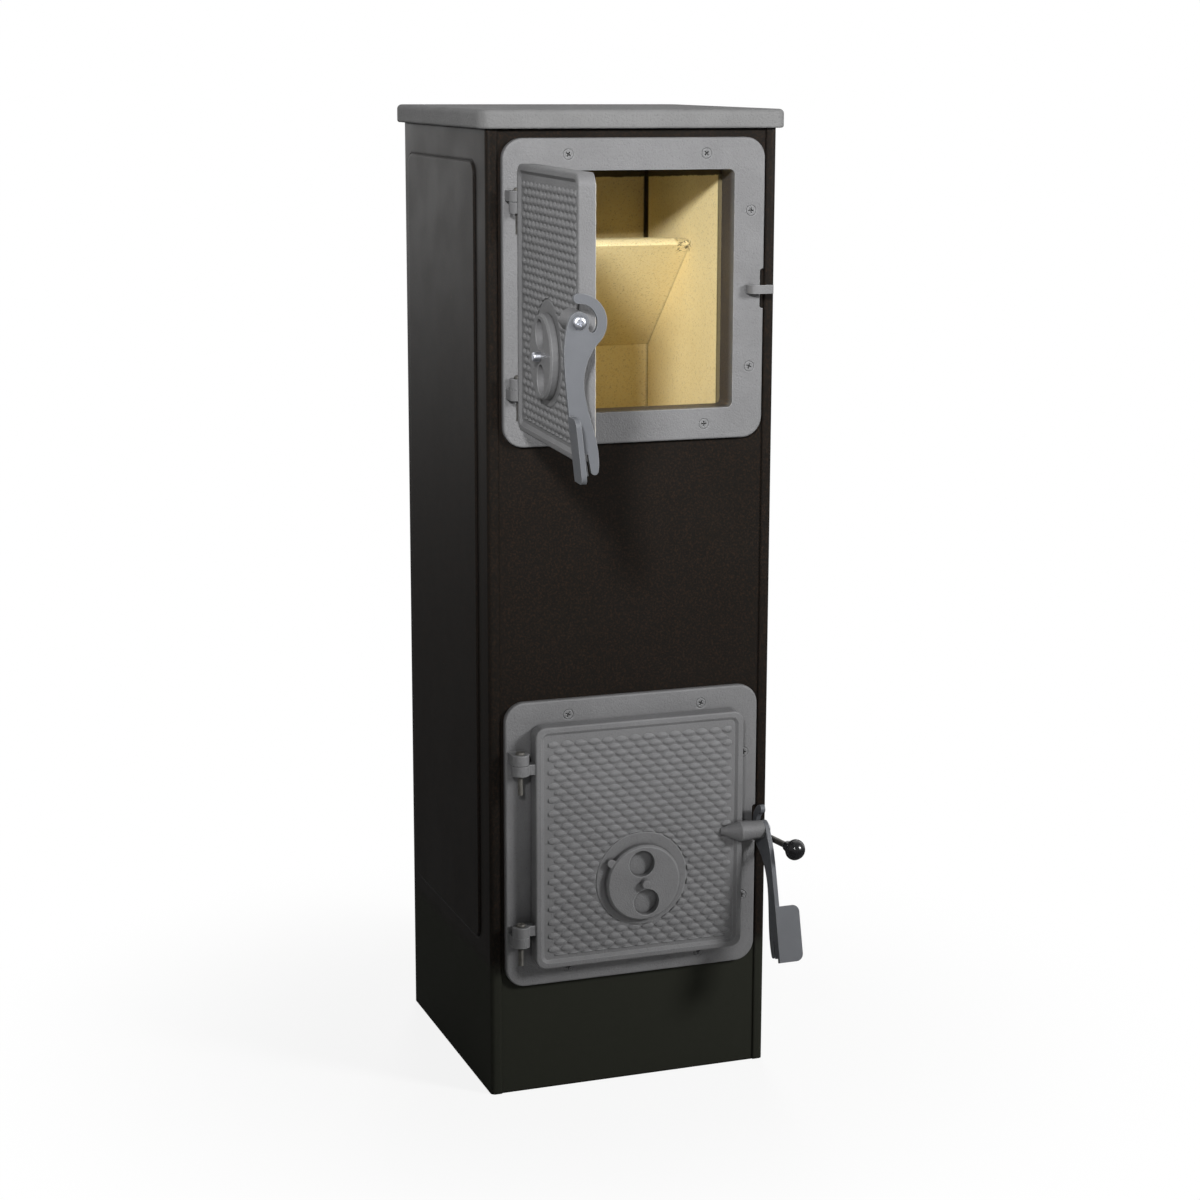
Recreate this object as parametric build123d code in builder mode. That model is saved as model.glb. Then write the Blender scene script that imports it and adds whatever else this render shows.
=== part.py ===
"""Column stove of sheet steel and cast iron with two latched doors, in millimetres.

The origin is the centre of the base on the floor. +X is the stove's right, +Y runs into
its depth and +Z is up. Both doors hang on the left. The upper one stands open.
"""

from build123d import *
from math import atan2, cos, degrees, hypot, radians, sin
import os

# Casing
body_width = 320.0
body_depth = 310.0
casing_height = 1036.0
casing_sheet = 1.5
fold_radius = 5.0
flange_width = 12.0
base_height = 40.0
base_sheet = 3.0
base_foot_width = 25.0
pressed_depth = 2.0
pressed_corner = 14.0
pressed_front_margin = 37.0
pressed_rear_margin = 20.0
pressed_bottom = 165.0
pressed_top_margin = 33.0

# Top plate
plate_overhang = 8.5
plate_thickness = 19.5
plate_top_sheet = 6.0
plate_corner = 14.0
plate_round = 5.0
plate_rim = 14.0

# Door frames, which are two equal castings
frame_bottom_margin = 122.4
frame_top_margin = 9.2
frame_width = 289.0
frame_height = 316.0
frame_stand = 6.0
frame_corner = 22.0
frame_round = 2.0
opening_width = 216.0
opening_height = 250.0
opening_corner = 6.0
opening_shift = 2.0
collar_wall = 5.0
collar_depth = 35.0
collar_room = 5.0

# Frame screws
frame_screw_radius = 3.0
frame_screw_head = 6.0
frame_screw_cone = 3.0
frame_screw_spread = 76.0
frame_screw_rise = 141.5
frame_screw_side = 129.0
frame_screw_side_rise = 82.0

# Doors, which are two equal castings
door_width = 238.0
door_height = 268.0
door_corner = 12.0
door_round = 2.0
door_gap = 3.0
door_depth = 16.7
door_wall = 5.0
rim_width = 6.0
rim_slope = 3.5
field_depth = 2.5
skirt_wall = 4.0
rope_width = 6.0
rope_groove = 6.0
rope_rib = 3.0
upper_door_open = 94.2

# Hinges
hinge_x = -132.6
hinge_reach = 14.5
lug_radius = 9.5
lug_height = 11.0
lug_gap = 0.6
lug_seat = 0.3
hinge_half_spacing = 95.0
pin_radius = 3.0
pin_length = 44.0
pin_head_radius = 5.0
pin_head_height = 3.0

# Air regulators
regulator_x = 3.6
regulator_drop = 46.6
regulator_radius = 42.0
regulator_thickness = 8.0
regulator_chamfer = 2.0
regulator_lift = 0.3
regulator_boss_radius = 52.5
regulator_boss_height = 1.0
regulator_boss_lift = 3.2
air_hole_radius = 14.7
air_hole_circle = 22.0
air_hole_turn = 7.0
tab_reach = 49.0
tab_angle = 146.0
tab_radius = 4.0
tab_root = 9.0
regulator_screw_radius = 3.0
regulator_screw_head = 4.8
regulator_screw_stand = 7.0
nut_radius = 5.5
nut_height = 5.0

# Door handles and the keepers they hook behind
pivot_reach = 31.3
handle_gap = 0.3
boss_stand = 20.2
boss_root_radius = 10.8
boss_end_radius = 9.8
boss_fairing = 20.0
boss_fairing_radius = 3.5
handle_thickness = 5.0
hub_radius = 9.8
slot_radius = 17.3
hook_radius = 26.5
hook_tip_angle = 92.0
slot_end_angle = -25.0
handle_length = 142.0
hook_heel_angle = -43.5
cheek_angle = 170.0
shoulder_drop = 28.8
shoulder_back = 11.4
waist_drop = 53.7
waist_back = 4.7
waist_front = 12.7
cheek_drop = 23.6
cheek_front = 14.0
shin_drop = 80.0
shin_back = 8.4
shin_front = 10.1
toe_back = 18.6
toe_front = 3.4
toe_round = 4.0
toe_bulge = 3.2
slit_depth = 19.0
slit_top_offset = 6.0
slit_foot_offset = 8.9
slit_width = 2.7
wing_start = 86.0
wing_start_offset = 9.6
wing_end = 147.0
wing_end_offset = 2.9
wing_width = 28.0
wing_corner = 8.0
pivot_screw_radius = 3.0
pivot_screw_head = 6.5
pivot_screw_head_height = 3.5
pivot_screw_grip = 16.0
pivot_hole_end = 1.0
lower_handle_swing = 21.0
keeper_height = 9.0
keeper_thickness = 4.2
keeper_root = 9.0
keeper_bend = 2.7
keeper_clearance = 3.0
keeper_overlap = 3.5
keeper_reach = 11.3
notch_depth = 4.5
notch_height = 42.0
notch_corner = 3.0

# Firebox
shell_sheet = 3.0
lining_thickness = 30.0
firebox_half_width = 107.0
firebox_rear = 85.0
shell_top_gap = 16.0
lining_fit = 0.3
lining_gap = 3.0
lower_board_height = 336.0
lining_top_gap = 6.0
rear_ledge = 10.0
rear_ledge_drop = 82.8
baffle_thickness = 25.0
baffle_run = 128.0
baffle_rise = 122.0
baffle_groove = 8.0

# Grate and ash room
ash_floor_sheet = 3.0
ash_floor_flange = 20.0
ash_pan_width = 196.0
ash_pan_depth = 190.0
ash_pan_height = 66.0
ash_pan_sheet = 1.5
ash_pan_corner = 8.0
ash_pan_lip = 8.0
pan_handle_width = 70.0
pan_handle_reach = 14.0
pan_handle_bar = 4.0
running_gap = 0.3
shaft_y = -20.0
shaft_rise = 91.6
shaft_stand = 1.0
shaft_radius = 5.0
shaft_clearance = 0.1
grate_width = 196.0
grate_depth = 140.0
grate_thickness = 12.0
grate_slots = 9
grate_slot_width = 8.0
grate_slot_pitch = 19.0
grate_slot_end = 12.0
grate_lug_radius = 10.0
grate_lug_width = 10.0
bed_thickness = 12.0
bed_gap = 1.5
bed_lift = 1.0
rail_leg = 20.0
rail_sheet = 3.0
rail_notch = 14.0
bush_radius = 9.0
bush_clearance = 0.2

# Riddling lever
lever_gap = 0.5
lever_radius = 3.5
lever_slope = 5.1
lever_hub_radius = 11.0
lever_hub_width = 9.0
knob_radius = 11.0
knob_reach = 204.4
knob_neck_radius = 6.0
knob_neck = 9.0
knob_ring = 1.2

# Flue
flue_drop = 36.8
flue_radius = 59.0
flue_wall = 4.0
flue_stand = 60.0
flue_stop_radius = 61.0
flue_stop_stand = 2.0
flue_flange_radius = 76.0
flue_flange = 6.0
flue_port_radius = 50.0
flue_screw_circle = 67.0
flue_gap = 2.0

# Sheet-metal screws
panel_screw_radius = 2.0
panel_screw_head = 4.0
panel_screw_head_height = 2.0
panel_screw_length = 7.0
panel_screw_margin = 51.8
panel_screw_rows = 4
screw_gap = 0.1

# Places worked out from the sizes above
lower_centre = frame_bottom_margin + frame_height / 2
upper_centre = casing_height - frame_top_margin - frame_height / 2
front = -body_depth / 2
rear = body_depth / 2
side = body_width / 2
panel_front = front + casing_sheet
panel_back = panel_front + casing_sheet
rear_panel_face = rear - casing_sheet
panel_half_width = side - fold_radius
frame_front = front - frame_stand
frame_thickness = frame_stand + casing_sheet
collar_end = frame_front + collar_depth
door_back = frame_front - door_gap
door_face = door_back - door_depth
field_face = door_face + field_depth
wall_back = field_face + door_wall
hinge_y = frame_front - hinge_reach
door_half_width = door_width / 2
door_right = opening_shift + door_half_width
regulator_boss_face = field_face - regulator_boss_height
regulator_back = regulator_boss_face - regulator_lift
regulator_face = regulator_back - regulator_thickness
pivot_y = front - pivot_reach
boss_end_x = door_right + boss_stand
handle_x = boss_end_x + handle_gap
keeper_front = pivot_y + keeper_reach
shell_front = panel_back
shell_inner_front = shell_front + shell_sheet
shell_inner_side = firebox_half_width + lining_thickness + lining_fit
shell_side = shell_inner_side + shell_sheet
shell_inner_rear = firebox_rear + lining_thickness + lining_fit
shell_rear = shell_inner_rear + shell_sheet
shell_top = casing_height - shell_top_gap
lining_front = collar_end + lining_fit
lining_top = shell_top - shell_sheet - lining_top_gap
ash_floor_top = lower_centre - opening_height / 2
shaft_z = ash_floor_top + shaft_rise
grate_bottom = shaft_z + shaft_radius
grate_top = grate_bottom + grate_thickness
bed_bottom = grate_bottom + bed_lift
bed_top = bed_bottom + bed_thickness
bed_half_opening = hypot(grate_depth / 2, grate_top - shaft_z) + bed_gap
lining_split = bed_top + lower_board_height
rear_ledge_height = upper_centre - rear_ledge_drop
rear_upper_face = firebox_rear + rear_ledge
baffle_slope = hypot(baffle_run, baffle_rise)
lever_x = side + lever_gap + lever_hub_width / 2
flue_z = upper_centre - flue_drop
hinge_line = Axis((hinge_x, hinge_y, 0), (0, 0, 1))


def facing_front(y):
    """Upright plane at depth y: x runs to the right, y runs up, the normal points forwards."""
    return Plane.XZ.offset(-y)


def facing_right(x):
    """Upright plane at x: its own x runs into the depth, y runs up, the normal points right."""
    return Plane.YZ.offset(x)


def on_circle(radius, angle):
    """Point at an angle in degrees on a circle round the origin."""
    return (radius * cos(radians(angle)), radius * sin(radians(angle)))


def save(piece, label):
    """Name a finished piece and write it."""
    piece.part.label = label
    export_step(piece.part, f"parts/{label}.step")


def save_open(piece, label):
    """Write a piece of the upper door, swung open round the hinge line."""
    piece.part = piece.part.rotate(hinge_line, -upper_door_open)
    save(piece, label)


def base_frame():
    """Base tray on the floor: the firebox stands on its inward flange."""
    outer_width = body_width - 2 * casing_sheet
    outer_depth = body_depth - 4 * casing_sheet
    with BuildPart() as tray:
        with BuildSketch():
            RectangleRounded(outer_width, outer_depth, fold_radius)
        extrude(amount=base_height)
        with BuildSketch(Plane.XY.offset(base_sheet)):
            RectangleRounded(
                outer_width - 2 * base_sheet,
                outer_depth - 2 * base_sheet,
                fold_radius - base_sheet,
            )
        extrude(amount=base_height - 2 * base_sheet, mode=Mode.SUBTRACT)
        with BuildSketch(Plane.XY.offset(base_height)):
            Rectangle(outer_width - 2 * base_foot_width, outer_depth - 2 * base_foot_width)
        extrude(amount=-base_sheet, mode=Mode.SUBTRACT)
    return tray


def side_panel(sign):
    """Side sheet with a pressed field, folded over at its front and its rear edge."""
    wall = sign * side
    edge = wall - sign * flange_width
    field_length = body_depth - pressed_front_margin - pressed_rear_margin
    field_height = casing_height - pressed_top_margin - pressed_bottom
    field_y = front + pressed_front_margin + field_length / 2
    field_z = pressed_bottom + field_height / 2
    spread = 2 * casing_sheet * sin(radians(22.5))
    with BuildPart() as panel:
        with BuildSketch():
            with BuildLine():
                FilletPolyline(
                    (edge, front), (wall, front), (wall, rear), (edge, rear), radius=fold_radius
                )
                offset(amount=casing_sheet, side=Side.RIGHT if sign < 0 else Side.LEFT)
            make_face()
        extrude(amount=casing_height)
        with BuildSketch(facing_right(wall - sign * casing_sheet)):
            with Locations((field_y, field_z)):
                RectangleRounded(field_length + spread, field_height + spread, pressed_corner)
        extrude(amount=-sign * pressed_depth, taper=45)
        with BuildSketch(facing_right(wall)):
            with Locations((field_y, field_z)):
                RectangleRounded(field_length, field_height, pressed_corner)
        extrude(amount=-sign * pressed_depth, taper=45, mode=Mode.SUBTRACT)
        if sign > 0:
            with BuildSketch(facing_right(wall)):
                with Locations((shaft_y, shaft_z)):
                    Circle(bush_radius + bush_clearance)
            extrude(amount=-2 * flange_width, mode=Mode.SUBTRACT)
        for screw in panel_screw_places(sign):
            with BuildSketch(facing_front(rear)):
                with Locations(screw):
                    Circle(panel_screw_radius + screw_gap)
            extrude(amount=2 * casing_sheet, mode=Mode.SUBTRACT)
    return panel


def panel_screw_places(sign):
    """Centres of the rear panel's screws along one side, as x and z."""
    x = sign * (side - flange_width / 2 - casing_sheet)
    pitch = (casing_height - 2 * panel_screw_margin) / (panel_screw_rows - 1)
    return [(x, panel_screw_margin + row * pitch) for row in range(panel_screw_rows)]


def front_panel():
    """Front sheet behind the side flanges, cut out for the two frame collars."""
    holes = collar_outlines()
    with BuildPart() as panel:
        with BuildSketch(facing_front(panel_front)):
            with Locations((0, casing_height / 2)):
                Rectangle(2 * panel_half_width, casing_height)
            add(holes.sketch, mode=Mode.SUBTRACT)
            for centre in (lower_centre, upper_centre):
                with Locations(*frame_screw_places(centre)):
                    Circle(frame_screw_radius + screw_gap, mode=Mode.SUBTRACT)
        extrude(amount=-casing_sheet)
    return panel


def collar_outlines():
    """Both holes for the frame collars, with room round them, as a sketch on x and z."""
    with BuildSketch() as holes:
        with Locations((opening_shift, lower_centre), (opening_shift, upper_centre)):
            RectangleRounded(
                opening_width + 2 * (collar_wall + collar_room),
                opening_height + 2 * (collar_wall + collar_room),
                opening_corner + collar_wall + collar_room,
            )
    return holes


def rear_panel():
    """Rear sheet in front of the rear flanges, with the hole for the flue spigot."""
    with BuildPart() as panel:
        with BuildSketch(facing_front(rear_panel_face)):
            with Locations((0, casing_height / 2)):
                Rectangle(2 * panel_half_width, casing_height)
            with Locations((0, flue_z)):
                Circle(flue_stop_radius + flue_gap, mode=Mode.SUBTRACT)
            with Locations(*panel_screw_places(-1), *panel_screw_places(1)):
                Circle(panel_screw_radius + screw_gap, mode=Mode.SUBTRACT)
        extrude(amount=casing_sheet)
    return panel


def panel_screws():
    """Pan-head screws that hold the rear panel to the side flanges."""
    with BuildPart() as screws:
        for plane_y, radius, length in (
            (rear, panel_screw_head, -panel_screw_head_height),
            (rear, panel_screw_radius, panel_screw_length),
        ):
            with BuildSketch(facing_front(plane_y)):
                with Locations(*panel_screw_places(-1), *panel_screw_places(1)):
                    Circle(radius)
            extrude(amount=length)
    return screws


def top_plate():
    """Cast top plate with a rounded edge, hollow beneath inside its rim."""
    width = body_width + 2 * plate_overhang
    depth = body_depth + 2 * plate_overhang
    with BuildPart() as plate:
        with BuildSketch(Plane.XY.offset(casing_height)):
            RectangleRounded(width, depth, plate_corner)
        extrude(amount=plate_thickness)
        fillet(plate.faces().sort_by(Axis.Z)[-1].edges(), plate_round)
        fillet(plate.faces().sort_by(Axis.Z)[0].edges(), plate_round / 2)
        with BuildSketch(Plane.XY.offset(casing_height)):
            RectangleRounded(width - 2 * plate_rim, depth - 2 * plate_rim, plate_corner / 2)
        extrude(amount=plate_thickness - plate_top_sheet, mode=Mode.SUBTRACT)
    return plate


def frame_screw_places(centre):
    """Screw centres of one door frame, as x and z. The hinge side has none."""
    middle = opening_shift
    return [
        (middle - frame_screw_spread, centre + frame_screw_rise),
        (middle + frame_screw_spread, centre + frame_screw_rise),
        (middle - frame_screw_spread, centre - frame_screw_rise),
        (middle + frame_screw_spread, centre - frame_screw_rise),
        (frame_screw_side, centre + frame_screw_side_rise),
        (frame_screw_side, centre - frame_screw_side_rise),
    ]


def frame_lug_bottoms(centre):
    """Undersides of a frame's two hinge lugs: each carries or caps a lug of the door."""
    upper = centre + hinge_half_spacing + lug_gap / 2
    lower = centre - hinge_half_spacing - lug_seat - lug_height
    return [upper, lower]


def door_lug_bottoms(centre):
    """Undersides of a door's two hinge lugs."""
    upper = centre + hinge_half_spacing - lug_gap / 2 - lug_height
    lower = centre - hinge_half_spacing
    return [upper, lower]


def door_frame(centre):
    """Cast frame: a plate with a deep collar, two hinge lugs and a keeper over a notch."""
    finger = keeper(centre)
    with BuildPart() as frame:
        with BuildSketch(facing_front(panel_front)):
            with Locations((0, centre)):
                RectangleRounded(frame_width, frame_height, frame_corner)
        extrude(amount=frame_thickness)
        fillet(frame.faces().sort_by(Axis.Y)[0].edges(), frame_round)
        with BuildSketch(facing_front(panel_front)):
            with Locations((opening_shift, centre)):
                RectangleRounded(
                    opening_width + 2 * collar_wall,
                    opening_height + 2 * collar_wall,
                    opening_corner + collar_wall,
                )
        extrude(amount=-(collar_end - panel_front))
        with BuildSketch(facing_front(collar_end)):
            with Locations((opening_shift, centre)):
                RectangleRounded(opening_width, opening_height, opening_corner)
        extrude(amount=collar_depth, mode=Mode.SUBTRACT)
        with BuildSketch(facing_front(panel_front)):
            with Locations((frame_width / 2, centre)):
                RectangleRounded(2 * notch_depth, notch_height, notch_corner)
        extrude(amount=frame_thickness, mode=Mode.SUBTRACT)
        for bottom in frame_lug_bottoms(centre):
            with BuildSketch(Plane.XY.offset(bottom)):
                with Locations((hinge_x, hinge_y)):
                    Circle(lug_radius)
                with Locations((hinge_x, hinge_y + hinge_reach / 2)):
                    Rectangle(2 * lug_radius, hinge_reach)
                with Locations((hinge_x, hinge_y)):
                    Circle(pin_radius + screw_gap, mode=Mode.SUBTRACT)
            extrude(amount=lug_height)
        add(finger.part)
        with BuildSketch(facing_front(frame_front)):
            with Locations(*frame_screw_places(centre)):
                Circle(frame_screw_head + screw_gap)
        extrude(amount=-frame_screw_cone, taper=45, mode=Mode.SUBTRACT)
        with BuildSketch(facing_front(frame_front)):
            with Locations(*frame_screw_places(centre)):
                Circle(frame_screw_radius + screw_gap)
        extrude(amount=-frame_thickness, mode=Mode.SUBTRACT)
    return frame


def keeper(centre):
    """Finger on the frame that a door handle hooks behind: it overhangs the notch."""
    left = door_right + keeper_clearance
    root = left + keeper_root
    tip = handle_x + handle_thickness + keeper_overlap
    back = keeper_front + keeper_thickness
    foot = frame_front + frame_round
    with BuildPart() as finger:
        with BuildSketch(Plane.XY.offset(centre - keeper_height / 2)):
            with BuildLine():
                Polyline(
                    (root, back), (root, foot), (left, foot), (left, keeper_front + keeper_root),
                )
                ThreePointArc(
                    (left, keeper_front + keeper_root),
                    (left + keeper_bend, keeper_front + keeper_bend),
                    (root, keeper_front),
                )
                Polyline((root, keeper_front), (tip, keeper_front), (tip, back), (root, back))
            make_face()
        extrude(amount=keeper_height)
    return finger


def frame_screws(centre):
    """Countersunk screws that hold one door frame to the front panel and the shell."""
    with BuildPart() as screws:
        with BuildSketch(facing_front(frame_front)):
            with Locations(*frame_screw_places(centre)):
                Circle(frame_screw_head)
        extrude(amount=-frame_screw_cone, taper=45)
        with BuildSketch(facing_front(frame_front)):
            with Locations(*frame_screw_places(centre)):
                Circle(frame_screw_radius)
        extrude(amount=-(shell_inner_front - frame_front))
    return screws


def hinge_pins(centre):
    """Two pan-head pins, put in from above: heads on the upper lug of each pair."""
    with BuildPart() as pins:
        for seat in (
            frame_lug_bottoms(centre)[0] + lug_height,
            door_lug_bottoms(centre)[1] + lug_height + lug_seat,
        ):
            with BuildSketch(Plane.XY.offset(seat)):
                with Locations((hinge_x, hinge_y)):
                    Circle(pin_radius)
            extrude(amount=-pin_length)
            with BuildSketch(Plane.XY.offset(seat)):
                with Locations((hinge_x, hinge_y)):
                    Circle(pin_head_radius)
            extrude(amount=pin_head_height, taper=15)
    return pins


def door(centre):
    """Cast door: rimmed front, hollow back with a rope groove, two lugs and a handle boss."""
    regulator_z = centre - regulator_drop
    boss = handle_boss(centre)
    with BuildPart() as casting:
        with BuildSketch(facing_front(door_back)):
            with Locations((opening_shift, centre)):
                RectangleRounded(door_width, door_height, door_corner)
        extrude(amount=door_depth)
        fillet(casting.faces().sort_by(Axis.Y)[0].edges(), door_round)
        with BuildSketch(facing_front(door_face)):
            with Locations((opening_shift, centre)):
                RectangleRounded(
                    door_width - 2 * rim_width,
                    door_height - 2 * rim_width,
                    door_corner - rim_width / 2,
                )
        extrude(
            amount=-field_depth,
            taper=degrees(atan2(rim_slope, field_depth)),
            mode=Mode.SUBTRACT,
        )
        groove_outer = door_width - 2 * skirt_wall
        groove_tall = door_height - 2 * skirt_wall
        groove_radius = door_corner - skirt_wall
        inner_step = 2 * (rope_width + rope_rib)
        with BuildSketch(facing_front(door_back)):
            with Locations((opening_shift, centre)):
                RectangleRounded(groove_outer, groove_tall, groove_radius)
                RectangleRounded(
                    groove_outer - 2 * rope_width,
                    groove_tall - 2 * rope_width,
                    groove_radius / 2,
                    mode=Mode.SUBTRACT,
                )
        extrude(amount=rope_groove, mode=Mode.SUBTRACT)
        with BuildSketch(facing_front(door_back)):
            with Locations((opening_shift, centre)):
                RectangleRounded(
                    groove_outer - inner_step, groove_tall - inner_step, groove_radius / 2
                )
        extrude(amount=door_back - wall_back, mode=Mode.SUBTRACT)
        with BuildSketch(facing_front(field_face)):
            with Locations((regulator_x, regulator_z + regulator_boss_lift)):
                Circle(regulator_boss_radius)
        extrude(amount=regulator_boss_height, taper=45)
        for bottom in door_lug_bottoms(centre):
            with BuildSketch(Plane.XY.offset(bottom)):
                with Locations((hinge_x, hinge_y)):
                    Circle(lug_radius)
                web_front = door_face + door_round
                web_back = door_back - door_gap
                web_right = opening_shift - door_half_width + skirt_wall
                with Locations(((hinge_x + web_right) / 2, (web_front + web_back) / 2)):
                    Rectangle(web_right - hinge_x, web_back - web_front)
                with Locations((hinge_x, hinge_y)):
                    Circle(pin_radius + screw_gap, mode=Mode.SUBTRACT)
            extrude(amount=lug_height)
        add(boss.part)
        with BuildSketch(facing_right(boss_end_x)):
            with Locations((pivot_y, centre)):
                Circle(pivot_screw_radius + screw_gap)
        extrude(amount=-pivot_screw_grip - pivot_hole_end, mode=Mode.SUBTRACT)
        with BuildSketch(facing_front(door_face)):
            with Locations((regulator_x, regulator_z)):
                with PolarLocations(air_hole_circle, 2, start_angle=air_hole_turn):
                    Circle(air_hole_radius)
                Circle(regulator_screw_radius + screw_gap)
        extrude(amount=-door_depth, mode=Mode.SUBTRACT)
    return casting


def handle_boss(centre):
    """Round boss that carries the handle, faired into the face of the door."""
    root_x = door_right - rim_width
    with BuildPart() as boss:
        with BuildSketch(facing_right(root_x - boss_fairing)):
            with Locations((door_face + door_round, centre)):
                Circle(boss_fairing_radius)
        with BuildSketch(facing_right(root_x)):
            with Locations((pivot_y, centre)):
                Circle(boss_root_radius)
        with BuildSketch(facing_right(boss_end_x)):
            with Locations((pivot_y, centre)):
                Circle(boss_end_radius)
        loft(ruled=True)
    return boss


def rope_seal(centre):
    """Sealing rope in the groove of a door, just clear of the frame's face."""
    outer_width = door_width - 2 * skirt_wall - 2 * lining_fit
    outer_height = door_height - 2 * skirt_wall - 2 * lining_fit
    thickness = rope_groove + door_gap - running_gap
    with BuildPart() as rope:
        with BuildSketch(facing_front(frame_front - running_gap)):
            with Locations((opening_shift, centre)):
                RectangleRounded(outer_width, outer_height, door_corner - skirt_wall)
                RectangleRounded(
                    outer_width - 2 * (rope_width - 2 * lining_fit),
                    outer_height - 2 * (rope_width - 2 * lining_fit),
                    (door_corner - skirt_wall) / 2,
                    mode=Mode.SUBTRACT,
                )
        extrude(amount=thickness)
        fillet(rope.faces().sort_by(Axis.Y)[-1].edges(), rope_width / 4)
    return rope


def regulator(centre):
    """Air regulator: a chamfered disc with two holes and a finger tab, drawn shut."""
    z = centre - regulator_drop
    with BuildPart() as disc:
        with BuildSketch(facing_front(regulator_back)):
            with Locations((regulator_x, z)):
                Circle(regulator_radius)
        extrude(amount=regulator_thickness)
        chamfer(disc.faces().sort_by(Axis.Y)[0].edges(), regulator_chamfer)
        with BuildSketch(facing_front(regulator_back)):
            with Locations((regulator_x, z)):
                with PolarLocations(tab_reach - tab_radius, 1, start_angle=tab_angle):
                    Circle(tab_radius)
                with PolarLocations((tab_reach - tab_radius) / 2, 1, start_angle=tab_angle):
                    Rectangle(tab_reach - tab_radius, tab_root)
        extrude(amount=regulator_thickness - regulator_chamfer)
        with BuildSketch(facing_front(regulator_back)):
            with Locations((regulator_x, z)):
                with PolarLocations(air_hole_circle, 2, start_angle=90 + air_hole_turn):
                    Circle(air_hole_radius)
                Circle(regulator_screw_radius + screw_gap)
        extrude(amount=regulator_thickness, mode=Mode.SUBTRACT)
    return disc


def regulator_screw(centre):
    """Screw that a regulator turns on, with its nut behind the wall of the door."""
    z = centre - regulator_drop
    with BuildPart() as screw:
        with BuildSketch(facing_front(regulator_face - running_gap)):
            with Locations((regulator_x, z)):
                Circle(regulator_screw_head)
        extrude(amount=regulator_screw_stand)
        fillet(screw.faces().sort_by(Axis.Y)[0].edges(), regulator_screw_head / 3)
        with BuildSketch(facing_front(regulator_face - running_gap)):
            with Locations((regulator_x, z)):
                Circle(regulator_screw_radius)
        extrude(amount=-(wall_back + nut_height - regulator_face + running_gap))
        with BuildSketch(facing_front(wall_back)):
            with Locations((regulator_x, z)):
                RegularPolygon(nut_radius, 6)
        extrude(amount=-nut_height)
    return screw


def handle(centre):
    """Pressed handle: a hook round its pivot, a forked strip and a folded finger grip."""
    pivot = Plane(origin=(handle_x, pivot_y, centre), x_dir=(0, 1, 0), z_dir=(1, 0, 0))
    slot_middle = (hub_radius + slot_radius) / 2
    hook_middle = (slot_radius + hook_radius) / 2
    slot_half = (slot_radius - hub_radius) / 2
    hook_half = (hook_radius - slot_radius) / 2
    slot_end = Vector(*on_circle(slot_middle, slot_end_angle))
    slot_end += Vector(*on_circle(slot_half, slot_end_angle - 90))
    hook_tip = Vector(*on_circle(hook_middle, hook_tip_angle))
    hook_tip += Vector(*on_circle(hook_half, hook_tip_angle + 90))
    bottom = -handle_length
    slit_left = slit_top_offset
    slit_right = slit_top_offset + slit_width
    with BuildPart() as piece:
        with BuildSketch(pivot):
            with BuildLine():
                outer = CenterArc(
                    (0, 0), hook_radius, hook_tip_angle, hook_heel_angle - hook_tip_angle
                )
                back = Spline(
                    outer @ 1, (shoulder_back, -shoulder_drop), (waist_back, -waist_drop),
                    (shin_back, -shin_drop), (toe_back, bottom + toe_round),
                )
                tine = ThreePointArc(
                    back @ 1,
                    (toe_back - toe_bulge, bottom + toe_round - toe_bulge),
                    (slit_foot_offset + slit_width, bottom + toe_round),
                )
                right_wall = Line(tine @ 1, (slit_right, bottom + slit_depth))
                slit_end = ThreePointArc(
                    right_wall @ 1,
                    (slit_left + slit_width / 2, bottom + slit_depth + slit_width / 2),
                    (slit_left, bottom + slit_depth),
                )
                left_wall = Line(slit_end @ 1, (slit_foot_offset, bottom))
                foot = Line(left_wall @ 1, (-toe_front, bottom))
                cheek = Spline(
                    foot @ 1, (-shin_front, -shin_drop), (-waist_front, -waist_drop),
                    (-cheek_front, -cheek_drop), on_circle(hub_radius, cheek_angle),
                )
                hub = CenterArc((0, 0), hub_radius, cheek_angle, slot_end_angle - cheek_angle)
                blind = ThreePointArc(hub @ 1, slot_end, on_circle(slot_radius, slot_end_angle))
                inner = CenterArc(
                    (0, 0), slot_radius, slot_end_angle, hook_tip_angle - slot_end_angle
                )
                ThreePointArc(inner @ 1, hook_tip, outer @ 0)
            make_face()
            Circle(pivot_screw_radius + screw_gap, mode=Mode.SUBTRACT)
        extrude(amount=handle_thickness)
        with BuildSketch(pivot):
            with BuildLine():
                Polyline(
                    (-wing_start_offset, -wing_start),
                    (-wing_end_offset, -wing_end),
                    (handle_thickness - wing_end_offset, -wing_end),
                    (handle_thickness - wing_start_offset, -wing_start),
                    close=True,
                )
            make_face()
        extrude(amount=wing_width)
        tip_face = piece.faces().sort_by(Axis.X)[-1]
        short_edges = tip_face.edges().sort_by(SortBy.LENGTH)[0:2]
        fillet(short_edges, wing_corner)
    return piece


def pivot_screw(centre):
    """Pan-head screw that a handle turns on."""
    head_seat = handle_x + handle_thickness + screw_gap
    with BuildPart() as screw:
        with BuildSketch(facing_right(head_seat)):
            with Locations((pivot_y, centre)):
                Circle(pivot_screw_head)
        extrude(amount=pivot_screw_head_height)
        fillet(screw.faces().sort_by(Axis.X)[-1].edges(), pivot_screw_head_height / 3)
        with BuildSketch(facing_right(head_seat)):
            with Locations((pivot_y, centre)):
                Circle(pivot_screw_radius)
        extrude(amount=-(head_seat - boss_end_x) - pivot_screw_grip)
    return screw


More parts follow.
